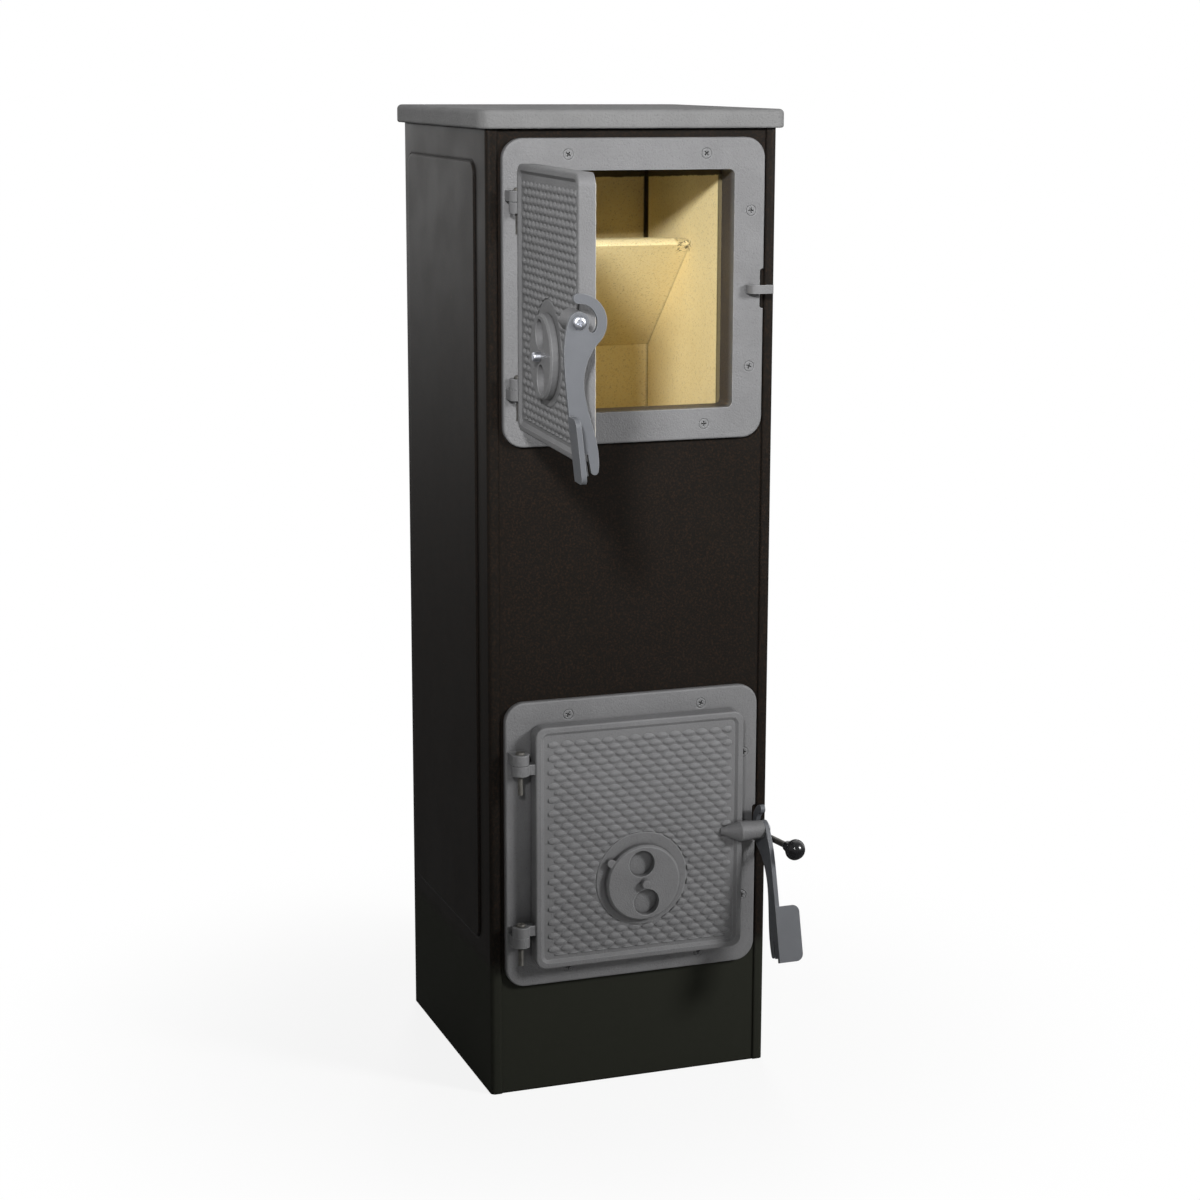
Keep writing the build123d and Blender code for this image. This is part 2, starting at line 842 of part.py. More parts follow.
def firebox_shell():
    """Welded steel firebox, open beneath, with door, flue and shaft openings."""
    width = 2 * shell_side
    depth = shell_rear - shell_front
    middle = (shell_rear + shell_front) / 2
    holes = collar_outlines()
    with BuildPart() as shell:
        with BuildSketch(Plane.XY.offset(base_height)):
            with Locations((0, middle)):
                Rectangle(width, depth)
        extrude(amount=shell_top - base_height)
        with BuildSketch(Plane.XY.offset(base_height)):
            with Locations((0, middle)):
                Rectangle(width - 2 * shell_sheet, depth - 2 * shell_sheet)
        extrude(amount=shell_top - base_height - shell_sheet, mode=Mode.SUBTRACT)
        with BuildSketch(facing_front(shell_front)):
            add(holes.sketch)
            for centre in (lower_centre, upper_centre):
                with Locations(*frame_screw_places(centre)):
                    Circle(frame_screw_radius + screw_gap)
        extrude(amount=-shell_sheet, mode=Mode.SUBTRACT)
        with BuildSketch(facing_front(shell_rear)):
            with Locations((0, flue_z)):
                Circle(flue_radius - flue_wall)
                with PolarLocations(flue_screw_circle, 4, start_angle=45):
                    Circle(panel_screw_radius + screw_gap)
        extrude(amount=shell_sheet, mode=Mode.SUBTRACT)
        with BuildSketch(facing_right(-shell_side)):
            with Locations((shaft_y, shaft_z)):
                Circle(shaft_radius + shaft_clearance)
        extrude(amount=width, mode=Mode.SUBTRACT)
    return shell


def ash_floor():
    """Floor of the ash room, a tray with its edges folded down."""
    width = 2 * shell_inner_side
    depth = shell_inner_rear - lining_front
    with BuildPart() as floor:
        with BuildSketch(Plane.XY.offset(ash_floor_top)):
            with Locations((0, lining_front + depth / 2)):
                Rectangle(width, depth)
        extrude(amount=-ash_floor_flange)
        with BuildSketch(Plane.XY.offset(ash_floor_top - ash_floor_sheet)):
            with Locations((0, lining_front + depth / 2)):
                Rectangle(width - 2 * ash_floor_sheet, depth - 2 * ash_floor_sheet)
        extrude(amount=-ash_floor_flange, mode=Mode.SUBTRACT)
    return floor


def bed_rail(sign):
    """Angle rail on the shell wall that the grate bed rests on, notched over the shaft."""
    wall = sign * shell_inner_side
    length = shell_inner_rear - lining_front
    with BuildPart() as rail:
        with BuildSketch(facing_front(shell_inner_rear)):
            with Locations((wall - sign * rail_leg / 2, bed_bottom - rail_leg / 2)):
                Rectangle(rail_leg, rail_leg)
            with Locations(
                (wall - sign * (rail_leg / 2 + rail_sheet), bed_bottom - rail_leg / 2 - rail_sheet)
            ):
                Rectangle(rail_leg, rail_leg, mode=Mode.SUBTRACT)
        extrude(amount=length)
        with BuildSketch(facing_right(wall)):
            with Locations((shaft_y, shaft_z)):
                Rectangle(rail_notch, rail_notch)
        extrude(amount=-sign * rail_leg, mode=Mode.SUBTRACT)
    return rail


def grate_bed():
    """Cast bed plate round the grate: the linings stand on it."""
    width = 2 * shell_inner_side - 2 * lining_fit
    depth = shell_inner_rear - lining_front
    with BuildPart() as bed:
        with BuildSketch(Plane.XY.offset(bed_bottom)):
            with Locations((0, lining_front + depth / 2)):
                Rectangle(width, depth)
            with Locations((0, shaft_y)):
                Rectangle(grate_width + 2 * bed_gap, 2 * bed_half_opening, mode=Mode.SUBTRACT)
        extrude(amount=bed_thickness)
    return bed


def grate():
    """Cast rocking grate: a slotted plate with two lugs beneath it on the shaft."""
    with BuildPart() as plate:
        with BuildSketch(Plane.XY.offset(grate_bottom)):
            with Locations((0, shaft_y)):
                RectangleRounded(grate_width, grate_depth, grate_slot_width / 2)
            with Locations((0, shaft_y)):
                with GridLocations(grate_slot_pitch, 1, grate_slots, 1):
                    SlotOverall(
                        grate_depth - 2 * grate_slot_end,
                        grate_slot_width,
                        rotation=90,
                        mode=Mode.SUBTRACT,
                    )
        extrude(amount=grate_thickness)
        lug_place = (grate_width - grate_lug_width) / 2
        for x in (-lug_place, lug_place):
            with BuildSketch(facing_right(x - grate_lug_width / 2)):
                with Locations((shaft_y, shaft_z)):
                    Circle(grate_lug_radius)
                with Locations((shaft_y, (shaft_z + grate_bottom) / 2)):
                    Rectangle(2 * grate_lug_radius, grate_bottom - shaft_z)
                with Locations((shaft_y, grate_top + grate_lug_radius)):
                    Rectangle(4 * grate_lug_radius, 2 * grate_lug_radius, mode=Mode.SUBTRACT)
            extrude(amount=grate_lug_width)
            with BuildSketch(facing_right(x - grate_lug_width / 2)):
                with Locations((shaft_y, shaft_z)):
                    Circle(shaft_radius + shaft_clearance / 2)
            extrude(amount=grate_lug_width, mode=Mode.SUBTRACT)
    return plate


def grate_shaft():
    """Round shaft across the stove that the grate and the lever are fixed to."""
    left = -shell_side - 2 * shaft_radius
    right = lever_x + lever_hub_width / 2 + shaft_stand
    with BuildPart() as shaft:
        with BuildSketch(facing_right(left)):
            with Locations((shaft_y, shaft_z)):
                Circle(shaft_radius)
        extrude(amount=right - left)
    return shaft


def shaft_bush():
    """Tube on the shell that carries the shaft through the side panel."""
    with BuildPart() as bush:
        with BuildSketch(facing_right(shell_side)):
            with Locations((shaft_y, shaft_z)):
                Circle(bush_radius)
                Circle(shaft_radius + shaft_clearance, mode=Mode.SUBTRACT)
        extrude(amount=side - shell_side)
    return bush


def lever_direction():
    """Plane at the shaft with its normal along the lever, forwards and a little upwards."""
    forwards = (0, -cos(radians(lever_slope)), sin(radians(lever_slope)))
    return Plane(origin=(lever_x, shaft_y, shaft_z), x_dir=(1, 0, 0), z_dir=forwards)


def riddling_lever():
    """Round lever with a hub on the shaft, beside the right panel."""
    along = lever_direction()
    with BuildPart() as lever:
        with BuildSketch(facing_right(lever_x - lever_hub_width / 2)):
            with Locations((shaft_y, shaft_z)):
                Circle(lever_hub_radius)
        extrude(amount=lever_hub_width)
        with BuildSketch(along):
            Circle(lever_radius)
        extrude(amount=knob_reach - knob_radius - knob_neck)
        with BuildSketch(facing_right(lever_x - lever_hub_width / 2)):
            with Locations((shaft_y, shaft_z)):
                Circle(shaft_radius + shaft_clearance / 2)
        extrude(amount=lever_hub_width, mode=Mode.SUBTRACT)
    return lever


def lever_knob():
    """Turned ball knob with a neck and a raised ring round its middle."""
    along = lever_direction()
    centre = along.origin + along.z_dir * knob_reach
    profile = Plane(origin=centre, x_dir=along.x_dir, z_dir=along.x_dir.cross(along.z_dir))
    neck = knob_radius + knob_neck
    with BuildPart() as knob:
        with BuildSketch(profile):
            with BuildLine():
                ThreePointArc((0, knob_radius), (knob_radius, 0), (0, -knob_radius))
                Line((0, -knob_radius), (0, knob_radius))
            make_face()
            with Locations((knob_neck_radius / 2, -neck / 2)):
                Rectangle(knob_neck_radius, neck)
            with Locations((knob_radius / 2, 0)):
                Rectangle(knob_radius + knob_ring, knob_ring)
        revolve(axis=Axis(centre, along.z_dir))
    return knob


def ash_pan():
    """Folded ash pan with a rolled lip and a bar to draw it out by."""
    bottom = ash_floor_top + running_gap
    front_y = collar_end + pan_handle_reach
    middle_y = front_y + ash_pan_depth / 2
    with BuildPart() as pan:
        with BuildSketch(Plane.XY.offset(bottom)):
            with Locations((opening_shift, middle_y)):
                RectangleRounded(ash_pan_width, ash_pan_depth, ash_pan_corner)
        extrude(amount=ash_pan_height)
        with BuildSketch(Plane.XY.offset(bottom + ash_pan_sheet)):
            with Locations((opening_shift, middle_y)):
                RectangleRounded(
                    ash_pan_width - 2 * ash_pan_sheet,
                    ash_pan_depth - 2 * ash_pan_sheet,
                    ash_pan_corner - ash_pan_sheet,
                )
        extrude(amount=ash_pan_height, mode=Mode.SUBTRACT)
        with BuildSketch(Plane.XY.offset(bottom + ash_pan_height - ash_pan_lip)):
            with BuildLine():
                FilletPolyline(
                    (opening_shift - pan_handle_width / 2, front_y),
                    (opening_shift - pan_handle_width / 2, front_y - pan_handle_reach),
                    (opening_shift + pan_handle_width / 2, front_y - pan_handle_reach),
                    (opening_shift + pan_handle_width / 2, front_y),
                    radius=pan_handle_bar,
                )
                offset(amount=pan_handle_bar / 2, side=Side.LEFT)
            make_face()
        extrude(amount=pan_handle_bar)
    return pan


def side_lining(sign, bottom, top, grooved):
    """Side lining board: an upper one is grooved along the slope of the baffle."""
    inner = sign * firebox_half_width
    section = baffle_section(lining_fit)
    with BuildPart() as board:
        with BuildSketch(facing_right(inner)):
            with Locations(((lining_front + shell_inner_rear) / 2, (bottom + top) / 2)):
                Rectangle(shell_inner_rear - lining_front, top - bottom)
        extrude(amount=sign * lining_thickness)
        if grooved:
            with BuildSketch(facing_right(inner)):
                add(section.sketch)
            extrude(amount=sign * (baffle_groove + lining_fit), mode=Mode.SUBTRACT)
    return board


def baffle_section(room):
    """Section of the sloping baffle with some room round it: a level top and a foot on a ledge."""
    foot = firebox_rear
    level = baffle_thickness * baffle_slope / baffle_rise
    top_y = foot - baffle_run
    top_z = rear_ledge_height + baffle_rise
    rise_per_run = baffle_rise / baffle_run
    heel_z = top_z - (rear_upper_face - top_y - level) * rise_per_run
    with BuildSketch() as section:
        with BuildLine():
            Polyline(
                (foot, rear_ledge_height),
                (rear_upper_face - lining_fit, rear_ledge_height),
                (rear_upper_face - lining_fit, heel_z),
                (top_y + level, top_z),
                (top_y, top_z),
                close=True,
            )
        make_face()
        if room:
            offset(amount=room, kind=Kind.INTERSECTION)
    return section


def baffle():
    """Sloping baffle board that turns the smoke forwards and over its top edge."""
    half = firebox_half_width + baffle_groove
    section = baffle_section(0)
    with BuildPart() as board:
        with BuildSketch(facing_right(-half)):
            add(section.sketch)
        extrude(amount=2 * half)
    return board


def rear_lining(bottom, top):
    """Rear lining board between the side boards."""
    width = 2 * (firebox_half_width - lining_fit)
    with BuildPart() as board:
        with BuildSketch(facing_front(firebox_rear)):
            with Locations((0, (bottom + top) / 2)):
                Rectangle(width, top - bottom)
        extrude(amount=-lining_thickness)
    return board


def rear_upper_lining(sign):
    """Upper rear board, one of a pair, cut round half of the flue port."""
    inner = lining_gap / 2
    outer = firebox_half_width - lining_fit
    with BuildPart() as board:
        with BuildSketch(facing_front(rear_upper_face)):
            with Locations((sign * (inner + outer) / 2, (rear_ledge_height + lining_top) / 2)):
                Rectangle(outer - inner, lining_top - rear_ledge_height)
            with Locations((0, flue_z)):
                Circle(flue_port_radius, mode=Mode.SUBTRACT)
        extrude(amount=-(lining_thickness - rear_ledge))
    return board


def front_lining():
    """Lining board inside the front wall, between the two collars."""
    bottom = lower_centre + opening_height / 2 + collar_wall + lining_fit
    top = upper_centre - opening_height / 2 - collar_wall - lining_fit
    with BuildPart() as board:
        with BuildSketch(facing_front(shell_inner_front)):
            with Locations((0, (bottom + top) / 2)):
                Rectangle(2 * (shell_inner_side - lining_fit), top - bottom)
        extrude(amount=-(lining_front - lining_fit - shell_inner_front))
    return board


def flue_spigot():
    """Flanged spigot on the back of the firebox, out through the rear panel."""
    with BuildPart() as spigot:
        with BuildSketch(facing_front(shell_rear)):
            with Locations((0, flue_z)):
                Circle(flue_flange_radius)
        extrude(amount=-flue_flange)
        with BuildSketch(facing_front(shell_rear)):
            with Locations((0, flue_z)):
                Circle(flue_stop_radius)
        extrude(amount=-(rear + flue_stop_stand - shell_rear))
        with BuildSketch(facing_front(shell_rear)):
            with Locations((0, flue_z)):
                Circle(flue_radius)
        extrude(amount=-(rear + flue_stand - shell_rear))
        with BuildSketch(facing_front(shell_rear)):
            with Locations((0, flue_z)):
                Circle(flue_radius - flue_wall)
                with PolarLocations(flue_screw_circle, 4, start_angle=45):
                    Circle(panel_screw_radius + screw_gap)
        extrude(amount=-(rear + flue_stand - shell_rear), mode=Mode.SUBTRACT)
    return spigot


def flue_screws():
    """Screws through the spigot's flange into the shell."""
    seat = shell_rear + flue_flange
    with BuildPart() as screws:
        for radius, length in (
            (panel_screw_head, -panel_screw_head_height),
            (panel_screw_radius, flue_flange + shell_sheet),
        ):
            with BuildSketch(facing_front(seat)):
                with Locations((0, flue_z)):
                    with PolarLocations(flue_screw_circle, 4, start_angle=45):
                        Circle(radius)
            extrude(amount=length)
    return screws


def swung_handle(centre, angle):
    """A handle with its grip swung forwards round the pivot screw."""
    piece = handle(centre)
    pivot_line = Axis((0, pivot_y, centre), (1, 0, 0))
    piece.part = piece.part.rotate(pivot_line, -angle)
    return piece


os.makedirs("parts", exist_ok=True)

save(base_frame(), "base_frame")
save(side_panel(-1), "left_side_panel")
save(side_panel(1), "right_side_panel")
save(front_panel(), "front_panel")
save(rear_panel(), "rear_panel")
save(panel_screws(), "rear_panel_screws")
save(top_plate(), "top_plate")

for level, height in (("lower", lower_centre), ("upper", upper_centre)):
    save(door_frame(height), f"{level}_door_frame")
    save(frame_screws(height), f"{level}_frame_screws")
    save(hinge_pins(height), f"{level}_hinge_pins")

save(door(lower_centre), "lower_door")
save(rope_seal(lower_centre), "lower_door_rope")
save(regulator(lower_centre), "lower_regulator")
save(regulator_screw(lower_centre), "lower_regulator_screw")
save(swung_handle(lower_centre, lower_handle_swing), "lower_handle")
save(pivot_screw(lower_centre), "lower_handle_screw")

save_open(door(upper_centre), "upper_door")
save_open(rope_seal(upper_centre), "upper_door_rope")
save_open(regulator(upper_centre), "upper_regulator")
save_open(regulator_screw(upper_centre), "upper_regulator_screw")
save_open(handle(upper_centre), "upper_handle")
save_open(pivot_screw(upper_centre), "upper_handle_screw")

save(firebox_shell(), "firebox_shell")
save(ash_floor(), "ash_floor")
save(bed_rail(-1), "left_bed_rail")
save(bed_rail(1), "right_bed_rail")
save(grate_bed(), "grate_bed")
save(side_lining(-1, bed_top, lining_split, False), "left_lining_lower")
save(side_lining(1, bed_top, lining_split, False), "right_lining_lower")
save(side_lining(-1, lining_split, lining_top, True), "left_lining_upper")
save(side_lining(1, lining_split, lining_top, True), "right_lining_upper")
save(rear_lining(bed_top, lining_split), "rear_lining_lower")
save(rear_lining(lining_split, rear_ledge_height), "rear_lining_middle")
save(rear_upper_lining(-1), "rear_lining_upper_left")
save(rear_upper_lining(1), "rear_lining_upper_right")
save(front_lining(), "front_lining")
save(baffle(), "baffle_board")

save(grate(), "grate")
save(grate_shaft(), "grate_shaft")
save(shaft_bush(), "shaft_bush")
save(riddling_lever(), "riddling_lever")
save(lever_knob(), "lever_knob")
save(ash_pan(), "ash_pan")
save(flue_spigot(), "flue_spigot")
save(flue_screws(), "flue_screws")
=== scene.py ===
"""Column stove: enamelled sheet casing, painted castings, board-lined firebox.

Sizes are in metres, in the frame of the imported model: +X to the stove's right, +Y into its
depth, +Z up. Run as a script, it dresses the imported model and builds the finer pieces.
"""

import math
from functools import partial

import bmesh
import bpy
from bpy.props import FloatProperty, FloatVectorProperty, IntProperty, PointerProperty
from mathutils import Matrix, Vector
from mathutils.noise import turbulence


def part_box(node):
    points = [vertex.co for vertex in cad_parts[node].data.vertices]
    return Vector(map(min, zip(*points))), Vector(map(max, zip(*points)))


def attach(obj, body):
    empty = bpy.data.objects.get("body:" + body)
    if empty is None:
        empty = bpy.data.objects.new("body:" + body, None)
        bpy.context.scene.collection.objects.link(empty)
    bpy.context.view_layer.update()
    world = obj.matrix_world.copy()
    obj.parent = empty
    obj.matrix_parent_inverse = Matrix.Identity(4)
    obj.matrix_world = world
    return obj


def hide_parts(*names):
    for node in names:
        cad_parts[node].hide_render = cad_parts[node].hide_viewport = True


bl_info = {
    "name": "Column stove",
    "version": (1, 0, 0),
    "blender": (4, 5, 0),
    "location": "View3D > Sidebar > Stove",
    "description": "Builds the finish and fine pieces of a column stove with two cast doors",
    "category": "Object",
}

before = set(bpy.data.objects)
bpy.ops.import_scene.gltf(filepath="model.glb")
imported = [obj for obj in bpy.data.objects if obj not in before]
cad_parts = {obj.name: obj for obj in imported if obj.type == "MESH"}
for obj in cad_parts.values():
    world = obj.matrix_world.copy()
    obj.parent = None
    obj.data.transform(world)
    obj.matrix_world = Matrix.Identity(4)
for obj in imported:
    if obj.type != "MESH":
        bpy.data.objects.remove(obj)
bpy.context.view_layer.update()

MM = 0.001
STOVE = "stove"
LEVELS = ("lower", "upper")
# Middle heights of the two door frames, their hinge line and the angle the upper door is open
CENTRE = {"lower": 0.2804, "upper": 0.8688}
HINGE = Vector((-0.1326, -0.1755, 0))
OPEN_ANGLE = math.radians(94.2)
# Settings of the nodes that the materials use most
EASED = {"interpolation_type": "SMOOTHSTEP"}
COLOURS = {"data_type": "RGBA"}
WHITE = (1, 1, 1, 1)


def linear(code):
    """Linear colour with alpha from an sRGB hex value such as 7a7b7d."""
    channels = [int(code[i:i + 2], 16) / 255 for i in (0, 2, 4)]
    return tuple(c / 12.92 if c <= 0.04045 else ((c + 0.055) / 1.055) ** 2.4
                 for c in channels) + (1.0,)


def per(millimetres):
    """Texture scale that repeats once in this many millimetres."""
    return 1000 / millimetres


def colour_property(name, description, code):
    """A colour setting whose default is an sRGB hex value."""
    return FloatVectorProperty(name=name, description=description, default=linear(code),
                               size=4, min=0, max=1, subtype="COLOR")


def length_property(name, description, metres):
    """A length setting with its default in metres."""
    return FloatProperty(name=name, description=description, default=metres, min=0,
                         unit="LENGTH", precision=4)


class StoveFinish(bpy.types.PropertyGroup):
    enamel: colour_property("Casing enamel", "Brown-black enamel of the casing sheets", "171513")
    plinth: colour_property("Plinth band", "Flat coat on the lowest band of the casing", "252620")
    casting: colour_property("Casting paint", "Grey stove paint of doors and frames", "6a6a6b")
    plate: colour_property("Top plate paint", "Grey stove paint of the top plate", "6e6e6e")
    handle: colour_property("Handle paint", "Blue-grey paint of the pressed handles", "5a5c60")
    zinc: colour_property("Zinc plate", "Zinc plate of the screws", "dcdde0")
    steel: colour_property("Rolled steel", "Mill scale on the firebox sheet", "4a4b4f")
    iron: colour_property("Grate iron", "Raw iron of the grate", "3a3836")
    board: colour_property("Lining board", "Body colour of the pressed vermiculite", "f4e2ac")
    flake: colour_property("Board flakes", "Golden mica flakes in the board", "c3a058")
    rope: colour_property("Sealing rope", "Glass-fibre rope in the doors", "cbc6ba")
    knob: colour_property("Lever knob", "Black moulded knob", "131314")


class ReliefSizes(bpy.types.PropertyGroup):
    columns: IntProperty(name="Columns", description="Bumps in a full row", default=14, min=2)
    rows: IntProperty(name="Rows", description="Full rows of bumps", default=16, min=2)
    column_pitch: length_property("Column pitch", "From bump to bump in a row", 0.0154)
    row_pitch: length_property("Row pitch", "From full row to full row", 0.01517)
    bump_length: length_property("Bump length", "Length of a bump between its points", 0.0158)
    bump_width: length_property("Bump width", "Height of a bump at its middle", 0.0086)
    bump_height: length_property("Bump height", "How far a bump stands out", 0.0017)
    boss_radius: length_property("Boss radius", "Radius of the smooth disc left free", 0.0532)


class FastenerSizes(bpy.types.PropertyGroup):
    countersunk: length_property("Countersunk head", "Radius of a frame screw's head", 0.0054)
    pan: length_property("Pan head", "Radius of a hinge pin's head", 0.005)
    pivot: length_property("Pivot head", "Radius of a handle screw's head", 0.0065)
    sheet: length_property("Sheet screw head", "Radius of a rear panel screw's head", 0.004)
    thread_pitch: length_property("Thread pitch", "Pitch of the M6 thread", 0.001)


class StageSettings(bpy.types.PropertyGroup):
    floor: colour_property("Floor", "Plain pale floor", "f4f4f3")
    left_lamp: FloatProperty(name="Left lamp", description="Power of the beam on the left",
                             default=470, min=0, unit="POWER")
    right_lamp: FloatProperty(name="Right lamp", description="Power of the soft lamp on the right",
                              default=76, min=0, unit="POWER")
    rear_lamp: FloatProperty(name="Rear lamp", description="Power of the soft lamp behind",
                             default=55, min=0, unit="POWER")
    ambient: FloatProperty(name="Ambient", description="Strength of the even light all round",
                           default=0.12, min=0)


def settings(group):
    """One of this add-on's setting groups of the scene."""
    return getattr(bpy.context.scene, group)


# Nodes


def connect(node, inputs):
    """Set a node's inputs by name, or in order, or link them to a socket or another node."""
    if not isinstance(inputs, dict):
        free = [i for i, socket in enumerate(node.inputs) if socket.enabled]
        inputs = dict(zip(free, inputs))
    for name, value in inputs.items():
        if isinstance(value, bpy.types.Node):
            value = next(socket for socket in value.outputs if socket.enabled)
        if isinstance(value, bpy.types.NodeSocket):
            node.id_data.links.new(value, node.inputs[name])
        else:
            node.inputs[name].default_value = value


def add_node(tree, kind, inputs=(), **values):
    """Add a node with its settings and links; a plain kind such as Math is a shader node's."""
    node = tree.nodes.new(kind if "Node" in kind else "ShaderNode" + kind)
    for name, value in values.items():
        setattr(node, name, value)
    connect(node, inputs)
    return node


def new_surface(name, **sockets):
    """A node material with these constants on its shader, and the places on the piece."""
    material = bpy.data.materials.new(name)
    material.use_nodes = True
    add = partial(add_node, material.node_tree)
    shader = material.node_tree.nodes["Principled BSDF"]
    connect(shader, {socket.replace("_", " "): value for socket, value in sockets.items()})
    return material, add, shader, add("TexCoord").outputs["Object"]


def worn_and_highlit_edges(add, soft_normal, most):
    """0 on open faces, up to most along sharp edges, where hands and tools rub and where it also
    paints the edges' highlight.
    """
    true_normal = add("NewGeometry").outputs["Normal"]
    turn = add("VectorMath", (soft_normal, true_normal), operation="DOT_PRODUCT")
    return add("MapRange", (turn, 0.995, 0.9, 0, most), **EASED)


def painted_corner_shade(add, most):
    """Painted shade: 0 in the open, up to most in gaps and inner corners of a few millimetres."""
    open_share = add("AmbientOcclusion", {"Distance": 5 * MM}, samples=8).outputs["AO"]
    return add("MapRange", (open_share, 0.85, 0.3, 0, most), **EASED)


# Finishes


def enamel():
    """Vitreous enamel, sprayed on steel sheet and fired.

    It gives a deep brown-black with a faint orange peel, slow waves of the sheet in the
    reflections, fine brown mottling and a few pale specks. The lowest band is flat.
    """
    finish = settings("stove_finish")
    material, add, shader, place = new_surface("vitreous_enamel", IOR=1.5,
                                               Specular_IOR_Level=0.08)
    flecks = add("TexNoise", (place, per(2.2), 6, 0.7))
    mottle = add("MapRange", (flecks, 0.45, 0.7, 0, 0.9), **EASED)
    brown = add("Mix", (mottle, finish.enamel, linear("2a2019")), **COLOURS)
    cells = add("TexVoronoi", (place, per(34)))
    speck = add("Math", (cells, 0.02), operation="LESS_THAN")
    pale = add("Math", (speck, 0.45), operation="MULTIPLY")
    specked = add("Mix", (pale, brown, linear("6f655a")), **COLOURS)
    # The flat band ends 150 mm up, in a slightly uneven line
    height = add("SeparateXYZ", (place,)).outputs["Z"]
    lumps = add("TexNoise", (place, per(60)))
    uneven = add("Math", (lumps, 0.012, height), operation="MULTIPLY_ADD")
    band = add("MapRange", (uneven, 0.160, 0.140), **EASED)
    colour = add("Mix", (band, specked, finish.plinth), **COLOURS)
    clouds = add("TexNoise", (place, per(70)))
    smudge = add("MapRange", (clouds, 0.3, 0.7, 0.30, 0.36), **EASED)
    rough = add("Mix", (band, smudge, 0.75), data_type="FLOAT")
    soft = add("Bevel", (4 * MM,), samples=6)
    swell = add("TexNoise", (place, per(160), 0))
    waves = add("Bump", {"Height": swell, "Distance": 1 * MM, "Strength": 0.5, "Normal": soft})
    grain = add("TexNoise", (place, per(1.6)))
    peel = add("Bump", {"Height": grain, "Distance": 0.02 * MM, "Normal": waves})
    connect(shader, {"Base Color": colour, "Roughness": rough, "Normal": peel})
    return material


def casting_paint(name, setting, grain, gloss, edge, collar_darkening):
    """Heat-resistant aluminium-grey paint, sprayed thin over sand-cast iron.

    It gives a satin grey whose sand grain shows through, slightly cloudy, with painted shade
    in hollows of the grain and in corners, paler along the edges, both as rubbed wear and as
    a painted highlight, and darker and browner inside the collars of the frames. Grain and
    edge radius are in millimetres.
    """
    colour = getattr(settings("stove_finish"), setting)
    material, add, shader, place = new_surface(name, Metallic=0.04, Specular_IOR_Level=gloss)
    clouds = add("TexNoise", (place, per(38), 5, 0.6))
    cloud = add("MapRange", (clouds, 0.3, 0.7), **EASED)
    darker, paler = ([min(1.0, c * share) for c in colour[:3]] + [1.0] for share in (0.94, 1.05))
    clouded = add("Mix", (cloud, darker, paler), **COLOURS)
    sand = add("TexNoise", (place, per(grain), 3, 0.6))
    # Painted shade: the hollows of the sand grain are darkened towards dark grey
    painted_pit_shade = add("MapRange", (sand, 0.40, 0.28, 0, 0.35), **EASED)
    pit_shaded = add("Mix", (painted_pit_shade, clouded, linear("3c3c3e")), **COLOURS)
    soft = add("Bevel", (edge * MM,), samples=6)
    # Paler along sharp edges: rubbed wear, and a painted highlight of the edges as well
    worn = add("Mix", (worn_and_highlit_edges(add, soft, 0.35), pit_shaded, linear("b9babb")), **COLOURS)
    # Painted shade in gaps and inner corners, darkened towards near black
    corner_shaded = add("Mix", (painted_corner_shade(add, 0.6), worn, linear("1b1a18")), **COLOURS)
    # Darker and browner behind the frame's face, inside the collars
    depth = add("SeparateXYZ", (place,)).outputs["Y"]
    inside_collar_mask = add("MapRange", (depth, -0.159, -0.146, 0, collar_darkening), **EASED)
    darker_inside_collar = add("Mix", (inside_collar_mask, corner_shaded, linear("3a3026")), **COLOURS)
    rough = add("MapRange", (sand, 0.2, 0.8, 0.56, 0.44), **EASED)
    lumps = add("TexNoise", (place, per(14), 1))
    swell = add("Bump", {"Height": lumps, "Distance": 0.25 * MM, "Strength": 0.6,
                         "Normal": soft})
    skin = add("Bump", {"Height": sand, "Distance": 0.34 * grain * MM, "Normal": swell})
    connect(shader, {"Base Color": darker_inside_collar, "Roughness": rough, "Normal": skin})
    return material


def zinc_plate():
    """Bright zinc, plated on turned steel screws: silvery, a little clouded and blue."""
    material, add, shader, place = new_surface("zinc_plate", Metallic=1.0)
    cloud = add("TexNoise", (place, per(3), 4))
    colour = add("Mix", (cloud, settings("stove_finish").zinc, linear("c3c8d4")), **COLOURS)
    rough = add("MapRange", (cloud, 0.3, 0.7, 0.34, 0.46), **EASED)
    soft = add("Bevel", (0.3 * MM,), samples=6)
    # The crystals of the plating are too fine to show, so the grain is drawn coarser
    grain = add("TexNoise", (place, per(0.6)))
    skin = add("Bump", {"Height": grain, "Distance": 0.01 * MM, "Normal": soft})
    connect(shader, {"Base Color": colour, "Roughness": rough, "Normal": skin})
    return material


def rolled_steel():
    """Hot-rolled steel sheet with its mill scale: blue-grey, cloudy, with brownish tinges."""
    material, add, shader, place = new_surface("rolled_steel", Metallic=0.75)
    clouds = add("TexNoise", (place, per(50), 6, 0.65))
    cloud = add("MapRange", (clouds, 0.35, 0.65), **EASED)
    patches = add("TexNoise", (place, per(17), 6, 0.7))
    tinge = add("MapRange", (patches, 0.55, 0.75, 0, 0.5), **EASED)
    scale = add("Mix", (cloud, settings("stove_finish").steel, linear("5d5f63")), **COLOURS)
    colour = add("Mix", (tinge, scale, linear("5a4a3c")), **COLOURS)
    rough = add("MapRange", (cloud, 0, 1, 0.42, 0.6), **EASED)
    soft = add("Bevel", (0.5 * MM,), samples=6)
    grain = add("TexNoise", (place, per(1.1), 4))
    skin = add("Bump", {"Height": grain, "Distance": 0.03 * MM, "Normal": soft})
    connect(shader, {"Base Color": colour, "Roughness": rough, "Normal": skin})
    return material


